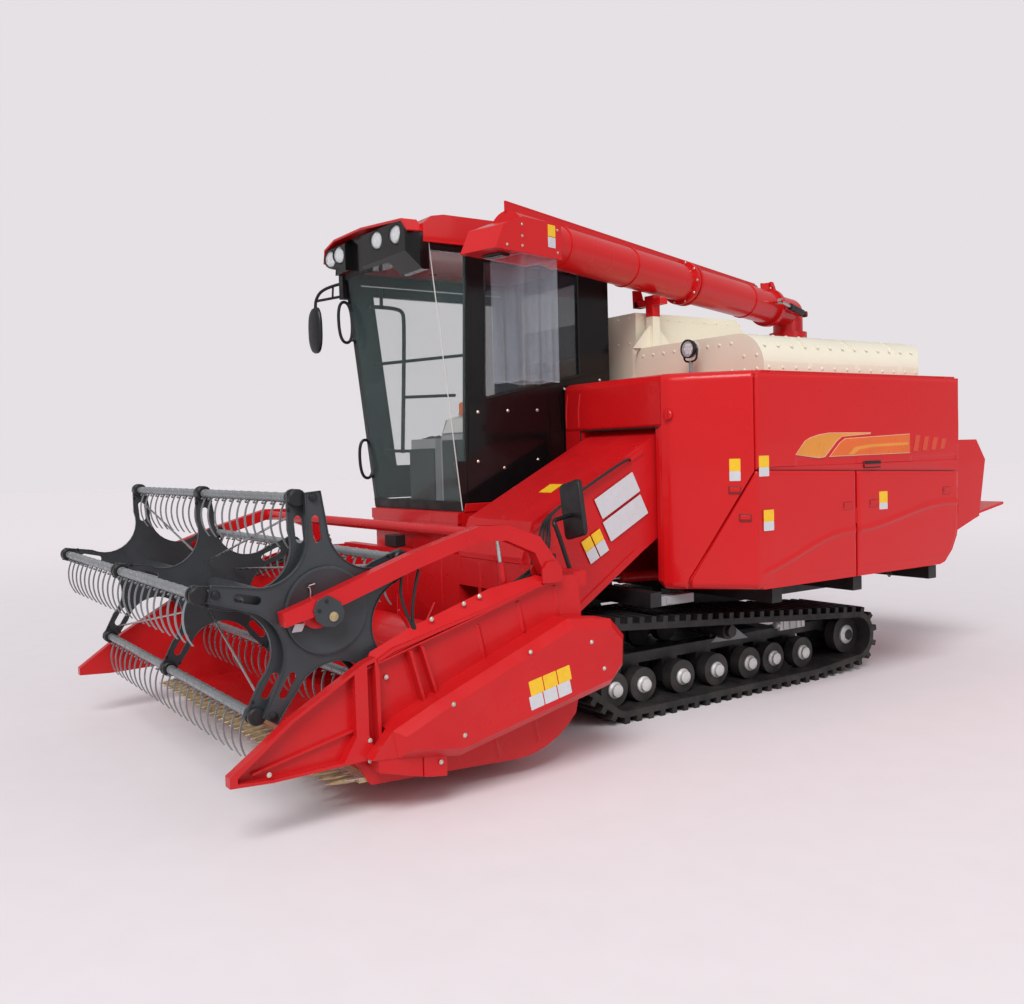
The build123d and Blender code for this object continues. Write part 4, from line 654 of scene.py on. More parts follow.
frame_loops = Shape()
for y0, y1, z0, z1 in ((-1130, -1030, 2205, 2465), (-1013, -913, 1322, 1572)):
    frame_loops.tube([(-1116, y0 + 6, z1), (-1116, y1, z1), (-1116, y1 + 8, z0), (-1116, y0 + 14, z0)], 10, 12,
                     closed=True, smooth=3)
    for z in (z1 - 14, z0 + 16):
        frame_loops.tube([(-1116, y1 - 8, z), (-1080, y1 + 53, z)], 9, 10)
        frame_loops.lathe((-1098, y1 + 22, z), (-0.5, -0.85, 0), [(20, -10), (20, 4), (13, 12)], 16)
piece(frame_loops, "grab_loops", "plastic", replaces=("handrails",))

arm = Shape()
arm.box((-1138, -1100, 2482), (-1080, -1034, 2636))
arm.tube([(-1100, -1052, 2590), (-1180, -1100, 2585), (-1262, -1168, 2555), (-1300, -1192, 2500),
         (-1303, -1196, 2440)], 10, 12, smooth=2)
arm.tube([(-1100, -1052, 2510), (-1200, -1120, 2500), (-1300, -1190, 2490)], 9, 12, smooth=1)
arm.tube([(-1200, -1112, 2580), (-1200, -1118, 2502)], 7, 10)
arm.lathe((-1303, -1196, 2440), (0, 0, -1), [(14, 0), (20, 6), (20, 26), (13, 34)], 16)
piece(arm, "mirror_arm", "plastic", bevel=4, replaces=("mirror_right",))
MIRROR_X, MIRROR_Z = -1308, 2300
ring = []
for i in range(48):
    t = math.tau * i / 48
    ring.append((math.copysign(abs(math.cos(t)) ** 0.7, math.cos(t)),
                math.copysign(abs(math.sin(t)) ** 0.8, math.sin(t))))
layers = ((1.0, -1189), (1.0, -1196), (0.96, -1206), (0.86, -1214), (0.6, -1219), (0.2, -1221))
piece(Shape().loops([[mm((MIRROR_X + 92 * f * a, y, MIRROR_Z + 150 * f * b)) for a, b in ring] for f, y in layers]),
      "mirror_right_case", "plastic")
piece(Shape().loops([[mm((MIRROR_X + 84 * a, y, MIRROR_Z + 141 * b)) for a, b in ring] for y in (-1189, -1186.5)]),
      "mirror_right_face", "mirror")

bezels, reflectors, lenses = Shape(), Shape(), Shape()
for x, z in ((-985, 2706), (-858, 2712), (-352, 2707), (-122, 2694)):
    facing = Vector((0.42, -0.9, 0.02)).normalized()
    spot = Vector((x, -1212, z))
    bezels.lathe(spot - facing * 40, facing, [(60, 0), (60, 40), (57, 50), (52, 52), (50, 46), (49, 34)], 40)
    reflectors.lathe(spot - facing * 8, facing, [(49, 0), (49, 3), (40, 5), (20, 5.5), (4, 6)], 36)
    u, v = basis(facing)
    for k in range(6):
        t = math.pi * k / 3
        reflectors.lathe(spot - facing * 4 + (u * math.cos(t) + v * math.sin(t)) * 26, facing,
                         [(13, 0), (13, 3), (6, 5)], 14)
    lenses.lathe(spot + facing * 2, facing, [(50, 0), (50, 2), (44, 7), (28, 11), (10, 12.5)], 36)
piece(bezels, "roof_lamp_bezels", "gloss_plastic")
piece(reflectors, "roof_lamp_reflectors", "chrome")
piece(lenses, "roof_lamp_lenses", "lamp")
piece(Shape().box((-1103, -1134, 2632), (-900, -1118, 2702)).box((-1103, -1134, 2632), (-1096, -1040, 2700)),
      "visor_skirt", "gloss_plastic", bevel=3)
outline = [(-1098, 2688), (-1078, 2776), (-930, 2814), (-560, 2814), (-60, 2768), (14, 2692)]
inner = [(-1086, 2690), (-1068, 2768), (-929, 2803), (-560, 2803), (-64, 2757), (2, 2690)]
rings = []
for (xa, za), (xb, zb) in zip(outline, inner):
    rings.append([mm((xa, -1222, za + 4)), mm((xa, -1120, za + 6)), mm((xb, -1120, zb)), mm((xb, -1222, zb))])
piece(Shape().loops(rings), "visor_cap", "red", bevel=3)
LAMP_X, LAMP_Z = 700, 2027
lamp_case = Shape()
lamp_case.lathe((LAMP_X, 252, LAMP_Z), (0, -1, 0), [(20, 0), (36, 6), (50, 26), (54, 44), (54, 56), (49, 58),
                (46, 52), (46, 40)], 40)
lamp_case.tube([(LAMP_X, 225, 1866), (LAMP_X, 225, 1950)], 11, 12)
lamp_case.tube([(648, 222, 2027), (648, 222, 1975), (668, 222, 1955), (732, 222, 1955), (752, 222, 1975),
               (752, 222, 2027)], 6, 8, smooth=1)
lamp_case.lathe((LAMP_X, 225, 1865), "z", [(34, 0), (34, 6), (18, 12)], 24)
for k in range(9):
    lamp_case.lathe((LAMP_X, 252 + k * 0.1, LAMP_Z), (0, 1, 0), [(36 - k * 3, k * 3), (36 - k * 3, k * 3 + 1.5)], 28)
piece(lamp_case, "work_lamp_case", "plastic")
piece(Shape().lathe((LAMP_X, 205, LAMP_Z), (0, -1, 0), [(46, 0), (46, 3), (40, 6), (10, 8)], 32), "work_lamp_lens",
      "lamp")
lamp_back = Shape()
for k in range(7):
    t = math.pi * k / 3
    r = 24 if k < 6 else 0
    lamp_back.lathe((LAMP_X + r * math.cos(t), 207, LAMP_Z + r * math.sin(t)), (0, -1, 0),
                    [(11, 0), (11, 2.4), (10.4, 3)], 16)
piece(lamp_back, "work_lamp_cells", "chrome")

# Cab side: gloss sheet, bolts and red foot, then the roof's ribs
sheet = Shape()
sheet.prism("x", [(-738, 1765), (-40, 1912), (190, 1960), (190, 1180), (-880, 1180), (-862, 1500), (-850, 1740)],
            0.5, 4)
piece(sheet, "cab_side_sheet", "gloss_plastic", bevel=1.5)
bolts("cab_side_bolts", "machine", "x", 8, [(4, -793, 1700), (4, -584, 1708), (4, -370, 1711), (4, -800, 1415),
      (4, -618, 1373), (4, -372, 1416), (4, -158, 1840), (4, 120, 1900), (4, 150, 1300)])
piece(Shape().prism("x", [(-905, 1128), (190, 1128), (190, 1176), (-895, 1176)], 0.5, 6)
      .prism("y", rect(-1085, 1060, -4, 1126), -921, -946), "cab_foot_trim", "red", bevel=3)
roof_trim = Shape()
roof_trim.prism("x", rect(-1090, 2640, 200, 2652), 3, 17)
for x in (-300, -800):
    roof_trim.prism("x", rect(-980, 2796, 60, 2806), x, x + 14)
piece(roof_trim, "roof_ribs", "red", bevel=4)

# Inside the cab: levers, console, instruments and the seat
knobs, shafts, gaiters = Shape(), Shape(), Shape()
for y in (-520, -380, -200):
    shafts.tube([(-130, y, 1660), (-130, y - 30, 1800)], 7, 10)
    knobs.lathe((-130, y - 30, 1790), (0, -0.2, 1), [(9, 0), (15, 8), (19, 22), (17, 36), (8, 44)], 20)
    gaiters.lathe((-130, y, 1668), "z", [(38, 0), (40, 6), (30, 10), (32, 16), (22, 20), (24, 26), (12, 32)], 20)
piece(shafts, "lever_shafts", "steel")
piece(knobs, "lever_knobs", "gloss_plastic")
piece(gaiters, "lever_gaiters", "seal")
desk = Shape()
desk.prism("x", [(-868, 1585), (-832, 1668), (-742, 1694), (-560, 1694), (-560, 1680), (-742, 1680), (-826, 1655),
           (-858, 1585)], -275, -28)
desk.prism("x", [(-520, 1678), (58, 1643), (58, 1652), (-520, 1690)], -216, -28)
piece(desk, "console_top", "pale", bevel=5)
piece(Shape().prism("x", rect(-872, 1135, -866, 1545), -278, -28).box((-694, -864, 1135), (-386, -858, 1500)),
      "console_front", "plastic", bevel=3)
buttons = Shape()
for i in range(6):
    buttons.box((-262 + 38 * i, -700, 1690), (-236 + 38 * i, -662, 1701))
for i in range(5):
    buttons.box((-640 + 45 * i, -800, 1558), (-612 + 45 * i, -774, 1567))
piece(buttons, "rocker_switches", "plastic", bevel=2)
piece(Shape().lathe((-200, -764, 1692), "z", [(30, 0), (30, 8), (26, 10), (26, 62), (20, 74), (6, 78)], 24),
      "console_beacon", "orange")
dials = Shape()
for i in range(3):
    dials.lathe((-620 + 80 * i, -760, 1562), (0, -0.35, 1), [(34, 0), (34, 8), (30, 10), (29, 7), (4, 7)], 32)
piece(dials, "gauge_rims", "gloss_plastic")
base = Shape()
base.box((-700, -330, 1135), (-420, -40, 1180))
base.prism("x", [(-300, 1180), (-70, 1180), (-100, 1440), (-270, 1440)], -660, -460)
base.box((-800, -400, 1440), (-320, 50, 1452))
base.tube([(-800, 60, 1640), (-812, -10, 1660), (-812, -220, 1660)], 22, 12, smooth=2)
base.tube([(-320, 60, 1640), (-308, -10, 1660), (-308, -220, 1660)], 22, 12, smooth=2)
piece(base, "seat_stand", "plastic", bevel=6)


VOXEL, PRESSURE, CLOTH_FRAMES, CLOTH_REACH = 0.011, 4, 20, 0.010
CHANNEL_HALF, CHANNEL_DEPTH = 14, 0.007


def cushion(name, low, high, channels, axis, node=None):
    """A padded block, swollen by cloth pressure, with sewn channels across it."""
    shape = Shape()
    x0, y0, z0 = (v + 9 for v in low)
    x1, y1, z1 = (v - 9 for v in high)
    shape.box((x0, y0, z0), (x1, y1, z1))
    bmesh.ops.bevel(shape.bm, geom=list(shape.bm.edges), offset=0.022, segments=3, affect="EDGES")
    obj = piece(shape, name, "cloth", replaces=(node,) if node else ())
    view = bpy.context.view_layer
    remesh = obj.modifiers.new("remesh", "REMESH")
    remesh.mode = "VOXEL"
    remesh.voxel_size = VOXEL
    view.objects.active = obj
    bpy.ops.object.select_all(action="DESELECT")
    obj.select_set(True)
    bpy.ops.object.modifier_apply(modifier="remesh")
    before = [v.co.copy() for v in obj.data.vertices]
    cloth = obj.modifiers.new("cloth", "CLOTH")
    cloth.settings.use_pressure = True
    cloth.settings.uniform_pressure_force = PRESSURE
    cloth.settings.effector_weights.gravity = 0
    cloth.point_cache.frame_start = 1
    cloth.point_cache.frame_end = CLOTH_FRAMES
    for f in range(1, CLOTH_FRAMES + 1):
        scene.frame_set(f)
    bpy.ops.object.modifier_apply(modifier="cloth")
    for v, old in zip(obj.data.vertices, before):
        move = v.co - old
        if move.length > CLOTH_REACH:
            v.co = old + move * (CLOTH_REACH / move.length)
    scene.frame_set(1)
    for v in obj.data.vertices:
        for spot in channels:
            d = abs(v.co[axis] * 1000 - spot)
            if d < CHANNEL_HALF:
                v.co -= v.normal * (0.5 * (1 + math.cos(math.pi * d / CHANNEL_HALF)) * CHANNEL_DEPTH)
    for p in obj.data.polygons:
        p.use_smooth = True
    sub = obj.modifiers.new("smooth", "SUBSURF")
    sub.levels = sub.render_levels = 1
    return obj


cushion("seat_cushion", (-790, -420, 1450), (-330, 60, 1540), (-300, -180, -60), 1, "seat_pads")
cushion("seat_back", (-780, 60, 1470), (-340, 130, 2080), (1640, 1760, 1880, 1980), 2)

# Boom: bands, flange bolts, ridge cap, hood lamp and trim, blank plate and the clear curtain
ELBOW, HEAD = Vector((-280, 2235, 2470)), Vector((500, -965, 2620))
BOOM = (HEAD - ELBOW).normalized()
FLAT = Vector((BOOM.x, BOOM.y, 0)).normalized()
SIDE = Vector((-FLAT.y, FLAT.x, 0))
LENGTH = (HEAD - ELBOW).xy.length
BOOM_R, FLANGE_BOLTS_R = 116, 131


def on_boom(distance, rise=0):
    """A point at a distance along the boom's axis, or above it."""
    return ELBOW + BOOM * distance + Vector((0, 0, rise))


def by_head(u, side, z):
    """A point by the discharge head: u forward along the boom, side to its left, z up."""
    return HEAD + FLAT * u + SIDE * side + Vector((0, 0, z))


bands = Shape()
for d, r in ((1455, 142), (1518, 142), (352, 124), (700, 124), (2150, 124), (2800, 124)):
    bands.lathe(on_boom(d), BOOM, [(BOOM_R, 0), (r, 1), (r, 9), (BOOM_R, 10)], 48)
piece(bands, "boom_bands", "red", "auger_boom")
ring_bolts = Shape()
u, v = basis(BOOM)
for k in range(10):
    t = math.tau * k / 10
    out = (u * math.cos(t) + v * math.sin(t)) * FLANGE_BOLTS_R
    ring_bolts.bolt(on_boom(1454) + out, -BOOM, 7)
    ring_bolts.bolt(on_boom(1528) + out, BOOM, 7)
piece(ring_bolts, "boom_flange_bolts", "zinc", "auger_boom")
piece(Shape().tube([on_boom(520, 142), on_boom(LENGTH - 75, 164)], 6, 10), "boom_ridge_cap", "red",
      "auger_boom")
hood_lamp = Shape()
hood_lamp.loops([[by_head(u, s, -127) / 1000 for u, s in rect(-30, -70, 50, 70)],
                 [by_head(u, s, -141) / 1000 for u, s in rect(-22, -62, 42, 62)]])
piece(hood_lamp, "hood_lamp_case", "gloss_plastic", "auger_boom", bevel=3)
piece(Shape().loops([[by_head(u, s, z) / 1000 for u, s in rect(-16, -56, 36, 56)] for z in (-141, -144)]),
      "hood_lamp_lens", "lamp", "auger_boom", bevel=1)
hood_trim = Shape()
for s in (-126.5, 126.5):
    hood_trim.loops([[by_head(u, side, z) / 1000 for u, z in rect(-384, -126, 147, -112)] for side in (s, s * 1.012)])
piece(hood_trim, "hood_trim", "red", "auger_boom", bevel=1)
hood_bolts = Shape()
for s in (-1, 1):
    for u, z in ((-60, 20), (-60, -40), (-60, -90), (-350, 30), (-350, -90), (60, -100)):
        hood_bolts.bolt(by_head(u, 125 * s, z), SIDE * s, 6)
piece(hood_bolts, "hood_bolts", "zinc", "auger_boom")
for look, z, h in (("yellow", 30, 62), ("white", -32, 56)):
    piece(Shape().plate(by_head(-300, 126, z - 10), FLAT, (0, 0, 1), 62, h, -1.2, 3), f"boom_plate_{look}", look,
          "auger_boom")

CURTAIN_DROP = 656
half_u, half_s, centre_u = 143, 112, -212
corners = [(half_u, -half_s), (half_u, half_s), (-half_u, half_s), (-half_u, -half_s)]
steps, levels = 40, 26
loop = []
for i in range(4):
    a, b = Vector(corners[i]), Vector(corners[(i + 1) % 4])
    run = (b - a).normalized()
    out = Vector((run.y, -run.x))
    for k in range(steps):
        t = k / steps
        loop.append((a.lerp(b, t), out, i + t))
rows_made, widths = [], []
for j in range(levels + 1):
    drop = j / levels
    row = []
    for spot, out, s in loop:
        edge = min(s % 1, 1 - s % 1) * 2
        fold = (math.sin(s * 14.3 + 0.5) * 6 + math.sin(s * 31.7 + drop * 1.4) * 3.2) * min(1, edge * 5)
        inward = -(4 + 7 * (1 - math.cos(math.pi * min(1, edge * 3))) * 0.5)
        wave = (fold * (0.25 + 0.75 * drop)) + inward * (0.3 + 0.5 * drop)
        p = spot + out * (wave + 3)
        sag = 4 * math.sin(s * 9.1) * drop
        row.append(by_head(centre_u + p.x, p.y, -125 - CURTAIN_DROP * drop + sag) / 1000)
    rows_made.append(row)
    widths.append(sum((row[i] - row[i - 1]).length for i in range(len(row))))
curtain = piece(Shape().loops(rows_made, caps=False), "clear_curtain", "curtain", "auger_boom",
                replaces=("spout_curtain",))
hems = Shape()
for row, radius in ((rows_made[0], 4.5), (rows_made[-1], 3.0)):
    hems.tube([p * 1000 for p in row], radius, 6, closed=True)
piece(hems, "curtain_hems", "curtain", "auger_boom")

# Body side: pressed skins over the doors and the upper panel, stripes, plates and latches
SKIN_X, SKIN_ROLL = 1250.4, 12
SHELL_OUT, SHELL_ROLL = 6, 10
SILL, SEAM_GAP = 694, 8
COWL_TOP, EDGE_R = 1862, 45


def seam_z(y):
    """The seam between the lower doors and the upper panel falls towards the rear."""
    return 1335 - 62 * (y - 141) / 1874


def soft(value, start, end):
    """0 before start, 1 after end, and smooth between."""
    t = max(0.0, min(1.0, (value - start) / (end - start)))
    return t * t * (3 - 2 * t)


def inset(z):
    """How far the rounded top and bottom edges of the housing draw in."""
    t = max(0.0, (z - 1819) / EDGE_R, (735 - z) / EDGE_R)
    return EDGE_R * (1 - math.sqrt(max(0.0, 1 - min(1.0, t) ** 2)))


def skin(name, body, z0, z1, span, height, columns, rows, front=True):
    """A pressed sheet on the left side, from z0 up to z1(y).

    span(z) gives its two ends and height(y, z) how proud it stands; its front edge is rolled in if front is set."""
    s = Shape()
    grid = []
    for j in range(rows + 1):
        v = j / rows
        line = []
        for i in range(columns + 1):
            u = i / columns
            ya, yb = span(z0 + v * (z1(800) - z0))
            top = z1(ya * (1 - u) + yb * u)
            z = z0 + v * (top - z0)
            ya, yb = span(z)
            y = ya + u * (yb - ya)
            edge = min(y - ya if front else SKIN_ROLL, yb - y, z - z0, top - z)
            rise = math.sin(math.pi / 2 * min(1, edge / SKIN_ROLL))
            line.append(s.bm.verts.new(mm((SKIN_X - inset(z) + rise * height(y, z), y, z))))
        grid.append(line)
    for j in range(rows):
        for i in range(columns):
            s.bm.faces.new((grid[j][i], grid[j][i + 1], grid[j + 1][i + 1], grid[j + 1][i]))
    piece(s, name, "red", body)


def shell(name, body, path, low, high, rows, ends):
    """A rounded sheet wrapped round the housing's front corner, along a path in plan, from low(p) up to high(p).

    ends tells which of its two ends are rolled in."""
    pts = [Vector(p) for p in path]
    runs = [(b - a).normalized() for a, b in zip(pts, pts[1:])]
    outs = [Vector((r.y, -r.x)) for r in runs]
    moved = []
    for i, p in enumerate(pts):
        n = outs[0] if i == 0 else outs[-1] if i == len(pts) - 1 else (outs[i - 1] + outs[i]).normalized()
        ref = outs[min(i, len(outs) - 1)]
        moved.append(p + n * SHELL_OUT / max(0.5, n.dot(ref)))
    for _ in range(4):
        fresh = [moved[0]]
        for a, b in zip(moved, moved[1:]):
            fresh += [a.lerp(b, 0.25), a.lerp(b, 0.75)]
        moved = fresh + [moved[-1]]
    line = [moved[0]]
    for a, b in zip(moved, moved[1:]):
        count = max(1, int((b - a).length // 14))
        line += [a.lerp(b, k / count) for k in range(1, count + 1)]
    total = sum((b - a).length for a, b in zip(line, line[1:]))
    s = Shape()
    grid = []
    gone = 0
    for i, p in enumerate(line):
        if i:
            gone += (p - line[i - 1]).length
        run = (line[min(i + 1, len(line) - 1)] - line[max(i - 1, 0)]).normalized()
        n = Vector((run.y, -run.x))
        z0, z1 = low(p), high(p)
        column = []
        for j in range(rows + 1):
            z = z0 + (z1 - z0) * j / rows
            edge = min(gone if ends[0] else SHELL_ROLL, total - gone if ends[1] else SHELL_ROLL, z - z0, z1 - z)
            rise = math.sin(math.pi / 2 * min(1, edge / SHELL_ROLL))
            q = p - n * (inset(z) + (SHELL_OUT - 0.4) * (1 - rise))
            column.append(s.bm.verts.new(mm((q.x, q.y, z))))
        grid.append(column)
    for a, b in zip(grid, grid[1:]):
        for j in range(rows):
            s.bm.faces.new((a[j], b[j], b[j + 1], a[j + 1]))
    piece(s, name, "red", body)


def crease(y):
    """Height of the pressed line that climbs along both lower doors."""
    return 760 + 190 * soft(y, 60, 900) + 116 * soft(y, 950, 1850)


def door_height(y, z):
    """How far the lower doors' skins stand out, with the pressed line and the hollow under it."""
    lower = soft(crease(y) - z, -3, 10)
    bow = 3.0 * math.sin(math.pi * soft(z, 700, 1300)) * soft(y, 150, 260)
    fold = 4.5 * math.exp(-((z - crease(y) - 8) / 16) ** 2) * soft(y, 150, 240)
    return 6 + bow + fold - 5 * lower * soft(y, 150, 300)


def panel_height(y, z):
    """How far the upper panel's skin stands out, with two flat fields low in it."""
    flat = 0
    for y0, y1, z0, z1 in ((450, 985, 1240, 1392), (1496, 1980, 1220, 1378)):
        flat += soft(y, y0, y0 + 12) * (1 - soft(y, y1 - 12, y1)) * soft(z, z0, z0 + 12) * (1 - soft(z, z1 - 14, z1))
    return 6 + 3 * math.sin(math.pi * soft(z, 1300, 1815)) - 4.5 * flat


def rear_edge(z):
    """The rear end of the rear door, which runs forward towards its foot."""
    points = ((690, 1800), (705, 1852), (775, 1930), (860, 1980), (952, 1998), (2000, 1998))
    for (za, ya), (zb, yb) in zip(points, points[1:]):
        if z <= zb:
            return ya + (yb - ya) * (z - za) / (zb - za)
    return 1998


skin("front_door_skin", "side_door_front", SILL, lambda y: seam_z(y) - SEAM_GAP, lambda z: (150, 969), door_height,
     110, 90, front=False)
skin("rear_door_skin", "side_door_rear", SILL, lambda y: seam_z(y) - SEAM_GAP, lambda z: (990, rear_edge(z) - 4),
     door_height, 130, 90)
skin("upper_panel_skin", "side_panel", 1340, lambda y: 1850, lambda z: (146, 2012), panel_height, 180, 90)


def seam_low(p):
    """The slanting seam between cowl and front door, over the diagonal face."""
    return 750 + (p.y + 95) * 585 / 230


shell("cowl_front_skin", "machine", [(20, -165), (862, -165)], lambda p: 1582, lambda p: COWL_TOP, 30, (True, False))
shell("cowl_corner_skin", "machine", [(862, -165), (930, -135), (1243.5, 135)],
      lambda p: 692 if p.y < -96 else max(692, seam_low(p) + 3), lambda p: COWL_TOP, 110, (False, True))
shell("door_corner_skin", "side_door_front", [(984, -88), (1250, 141), (1250, 150)], lambda p: SILL,
      lambda p: min(seam_z(p.y) - SEAM_GAP, max(720, seam_low(p) - 14)), 90, (True, False))
foot_rows = []
for y in (152 + 1856 * i / 60 for i in range(61)):
    foot_rows.append([mm((SKIN_X, y, seam_z(y) + 5)), mm((1255.6, y, seam_z(y) + 12)), mm((1257, y, 1342)),
                      mm((SKIN_X, y, 1342))])
piece(Shape().loops(foot_rows), "upper_panel_foot", "red", "side_panel")

STRIPE_X = 1260.5
for name, look, rise, outline in (
        ("stripe_edge_a", "edging", 0.0,
         [(446, 1405), (524, 1480), (567, 1498), (640, 1514), (734, 1524), (1110, 1521), (1104, 1512), (845, 1499),
          (799, 1473), (695, 1387), (640, 1383)]),
        ("stripe_a", "gold", 0.4,
         [(453, 1408), (529, 1479), (575, 1496), (640, 1509), (734, 1520), (1100, 1517), (838, 1502), (790, 1476),
          (690, 1392), (640, 1388)]),
        ("stripe_edge_b", "edging", 0.0, [(731, 1388), (826, 1467), (872, 1490), (1486, 1510), (1486, 1393)]),
        ("stripe_b", "orange", 0.4, [(740, 1392), (832, 1466), (876, 1486), (1486, 1506), (1486, 1397)]),
        ("stripe_c", "gold", 0.7,
         [(900, 1398), (960, 1438), (1100, 1452), (1470, 1458), (1470, 1444), (1120, 1436), (1000, 1424),
          (950, 1398)])):
    piece(Shape().prism("x", outline, STRIPE_X + rise - 2.5, STRIPE_X + rise), name, look, "side_panel")
slashes = Shape()
for i in range(4):
    y = 1520 + i * 92
    low, high = 1402 + i * 3, 1500 - i * 8
    slashes.prism("x", [(y, low), (y + 46, low), (y + 74, high), (y + 28, high)], STRIPE_X - 2, STRIPE_X + 0.4)
piece(slashes, "stripe_slashes", "ember", "side_panel")

DIAG_U = Vector((320, 276, 0)).normalized()
DIAG_N = Vector((276, -320, 0)).normalized()


def warning_plate(name, body, spot, u, v, width, height):
    """A blank plate, yellow above and white below."""
    for look, dz, h in (("yellow", height * 0.22, height * 0.56), ("white", -height * 0.28, height * 0.44)):
        centre = Vector(spot) + Vector(v) * dz
        piece(Shape().plate(centre, u, v, width, h, 1.0, 4), f"{name}_{look}", look, body)


warning_plate("side_plate_a", "side_panel", (1257, 196, 1352), (0, 1, 0), (0, 0, 1), 78, 110)
warning_plate("side_plate_b", "side_door_front", (1262, 222, 1062), (0, 1, 0), (0, 0, 1), 80, 112)
warning_plate("side_plate_c", "side_door_rear", (1258, 1224, 1113), (0, 1, 0), (0, 0, 1), 78, 120)
warning_plate("cowl_plate", "machine", Vector((1168, 70.5, 1336)) + DIAG_N * 7.5, DIAG_U, (0, 0, 1), 58, 118)

for body, spots in (("side_door_front", ((892, 1104),)), ("side_door_rear", ((1131, 1106), (1868, 1150)))):
    frames, faces = Shape(), Shape()
    for y, z in spots:
        frames.prism("x", rect(y - 44, z - 26, y + 44, z + 26), 1250, 1259.5)
        faces.prism("x", rect(y - 37, z - 20, y + 37, z + 20), 1259, 1260)
        faces.prism("x", rect(y - 34, z - 4, y + 34, z + 15), 1259, 1264)
    piece(frames, f"{body}_latch_frames", "latch", body, bevel=4)
    piece(faces, f"{body}_latches", "red", body, bevel=2)
for name, body, spot in (("cowl_latch", "machine", (1166, 69, 1228)),
                         ("door_latch", "side_door_front", (1206, 103, 1080))):
    frame_part, face_part = Shape(), Shape()
    frame_part.plate(Vector(spot) + DIAG_N * 4, DIAG_U, (0, 0, 1), 66, 44, 6, 6)
    face_part.plate(Vector(spot) + DIAG_N * 9 + Vector((0, 0, 3)), DIAG_U, (0, 0, 1), 54, 24, 4, 4)
    piece(frame_part, name, "latch", body, bevel=2)
    piece(face_part, f"{name}_face", "red", body, bevel=1.5)
piece(Shape().lathe((905, -156, 1639), (0, -1, 0), [(30, 0), (32, 4), (26, 12), (12, 14)], 28)
      .box((896, -176, 1612), (914, -168, 1666)), "cowl_knob", "red", bevel=1.5)
piece(Shape().prism("x", rect(1040, 1314, 1200, 1356), 1257, 1262)
      .prism("x", rect(1050, 1338, 1190, 1352), 1262, 1270), "panel_handle", "plastic", "side_panel", bevel=3)
ring = Shape()
ring.tube([(1230, 1300, 690), (1230, 1300, 668), (1230, 1314, 655), (1230, 1328, 668), (1230, 1328, 690)], 4, 8,
          smooth=2)
piece(ring, "tie_ring", "cast")

# Cowl front: creases and the lip over the throat, then rivets, straps, ribs, bolts, the tank's lid and chute trim
cowl_lines = Shape()
for x in (30, 150):
    cowl_lines.tube([(x, -170, 1600), (x, -172, 1700), (x + 20, -171, 1800)], 5, 8, smooth=1)
piece(cowl_lines, "cowl_creases", "red")
piece(Shape().box((158, -172, 1572), (842, -164, 1580)).box((158, -170, 1500), (166, -160, 1578)), "throat_lip",
      "seal", bevel=2)

rivets = Shape()
RIVET = [(10, -1), (10, 1), (7, 3.4), (2, 4.4)]
SMALL_RIVET = [(9, -1), (9, 1), (6, 3), (2, 4)]
for i in range(15):
    y = 372 + i * 112
    for spot, axis in (((1150.5, y, 1890), (1, 0, 0)), ((1122, y, 2016), (0.85, 0, 0.52)),
                       ((985, y, 2088), (0.12, 0, 1)), ((140, y, 2062), (-0.7, 0, 0.7))):
        if y < 1730 or spot[0] < 1000:
            rivets.lathe(spot, axis, RIVET, 12)
for x in range(180, 1101, 92):
    rivets.lathe((x, 329.5, 2040 if x < 1000 else 1960), (0, -1, 0), RIVET, 12)
    rivets.lathe((x, 329.5, 1884), (0, -1, 0), RIVET, 12)
for x in range(-1060, 60, 110):
    for z in (2130, 2290):
        rivets.lathe((x, 344.5, z), (0, -1, 0), SMALL_RIVET, 12)
for y in range(400, 1300, 110):
    for z in (2130, 2290):
        rivets.lathe((100.5, y, z), (1, 0, 0), SMALL_RIVET, 12)
        rivets.lathe((-1120.5, y, z), (-1, 0, 0), SMALL_RIVET, 12)
piece(rivets, "cover_rivets", "cream")
seams = Shape()
outer = [(110, 1866), (110, 2030), (128, 2072), (170, 2091.5), (940, 2091.5), (1040, 2076), (1112, 2028),
         (1151, 1921), (1151, 1866)]
inner = [(118, 1866), (118, 2028), (134, 2066), (174, 2083), (938, 2083), (1034, 2069), (1105, 2023),
         (1143, 1919), (1143, 1866)]
for y in (700, 1120, 1540):
    seams.prism("y", outer + inner[::-1], y, y + 34)
piece(seams, "cover_straps", "cream", bevel=1)
vents = Shape()
for i in range(9):
    y = 900 + i * 60
    vents.prism("x", rect(y, 1010, y + 36, 1400), -1163, -1150)
piece(vents, "right_side_ribs", "cream", bevel=3)
grille = Shape()
grille.prism("x", rect(840, 960, 1500, 1450), -1158, -1150)
for y in (560, 1180, 1800):
    grille.box((-1156, y, 720), (-1149, y + 10, 1880))
piece(grille, "right_side_panels", "cream", bevel=3)
edge_bolts = Shape()
for i in range(12):
    for z in (760, 1850):
        edge_bolts.bolt((-1151, 410 + 138 * i, z), "x", 7, -1)
for z in range(840, 1800, 160):
    for x in (-1080, -500):
        edge_bolts.bolt((x, 1986, z), "y", 7)
for i in range(7):
    edge_bolts.bolt((150 + 150 * i, 2016, 1500), "y", 7)
piece(edge_bolts, "tank_bolts", "zinc")
chute_seams = Shape()
chute_seams.prism("y", rect(112, 812, 1098, 826), 2017, 2030)
for x in (330, 600, 870):
    chute_seams.box((x, 2017, 850), (x + 10, 2023, 1420))
piece(chute_seams, "chute_seams", "red", bevel=2)
lids = Shape()
lids.box((-1040, 430, 2320), (20, 1250, 2334))
lids.box((-1000, 820, 2334), (-20, 850, 2344))
for x in (-900, -150):
    lids.box((x, 1245, 2318), (x + 90, 1262, 2340))
piece(lids, "tank_lid", "cream", bevel=5)
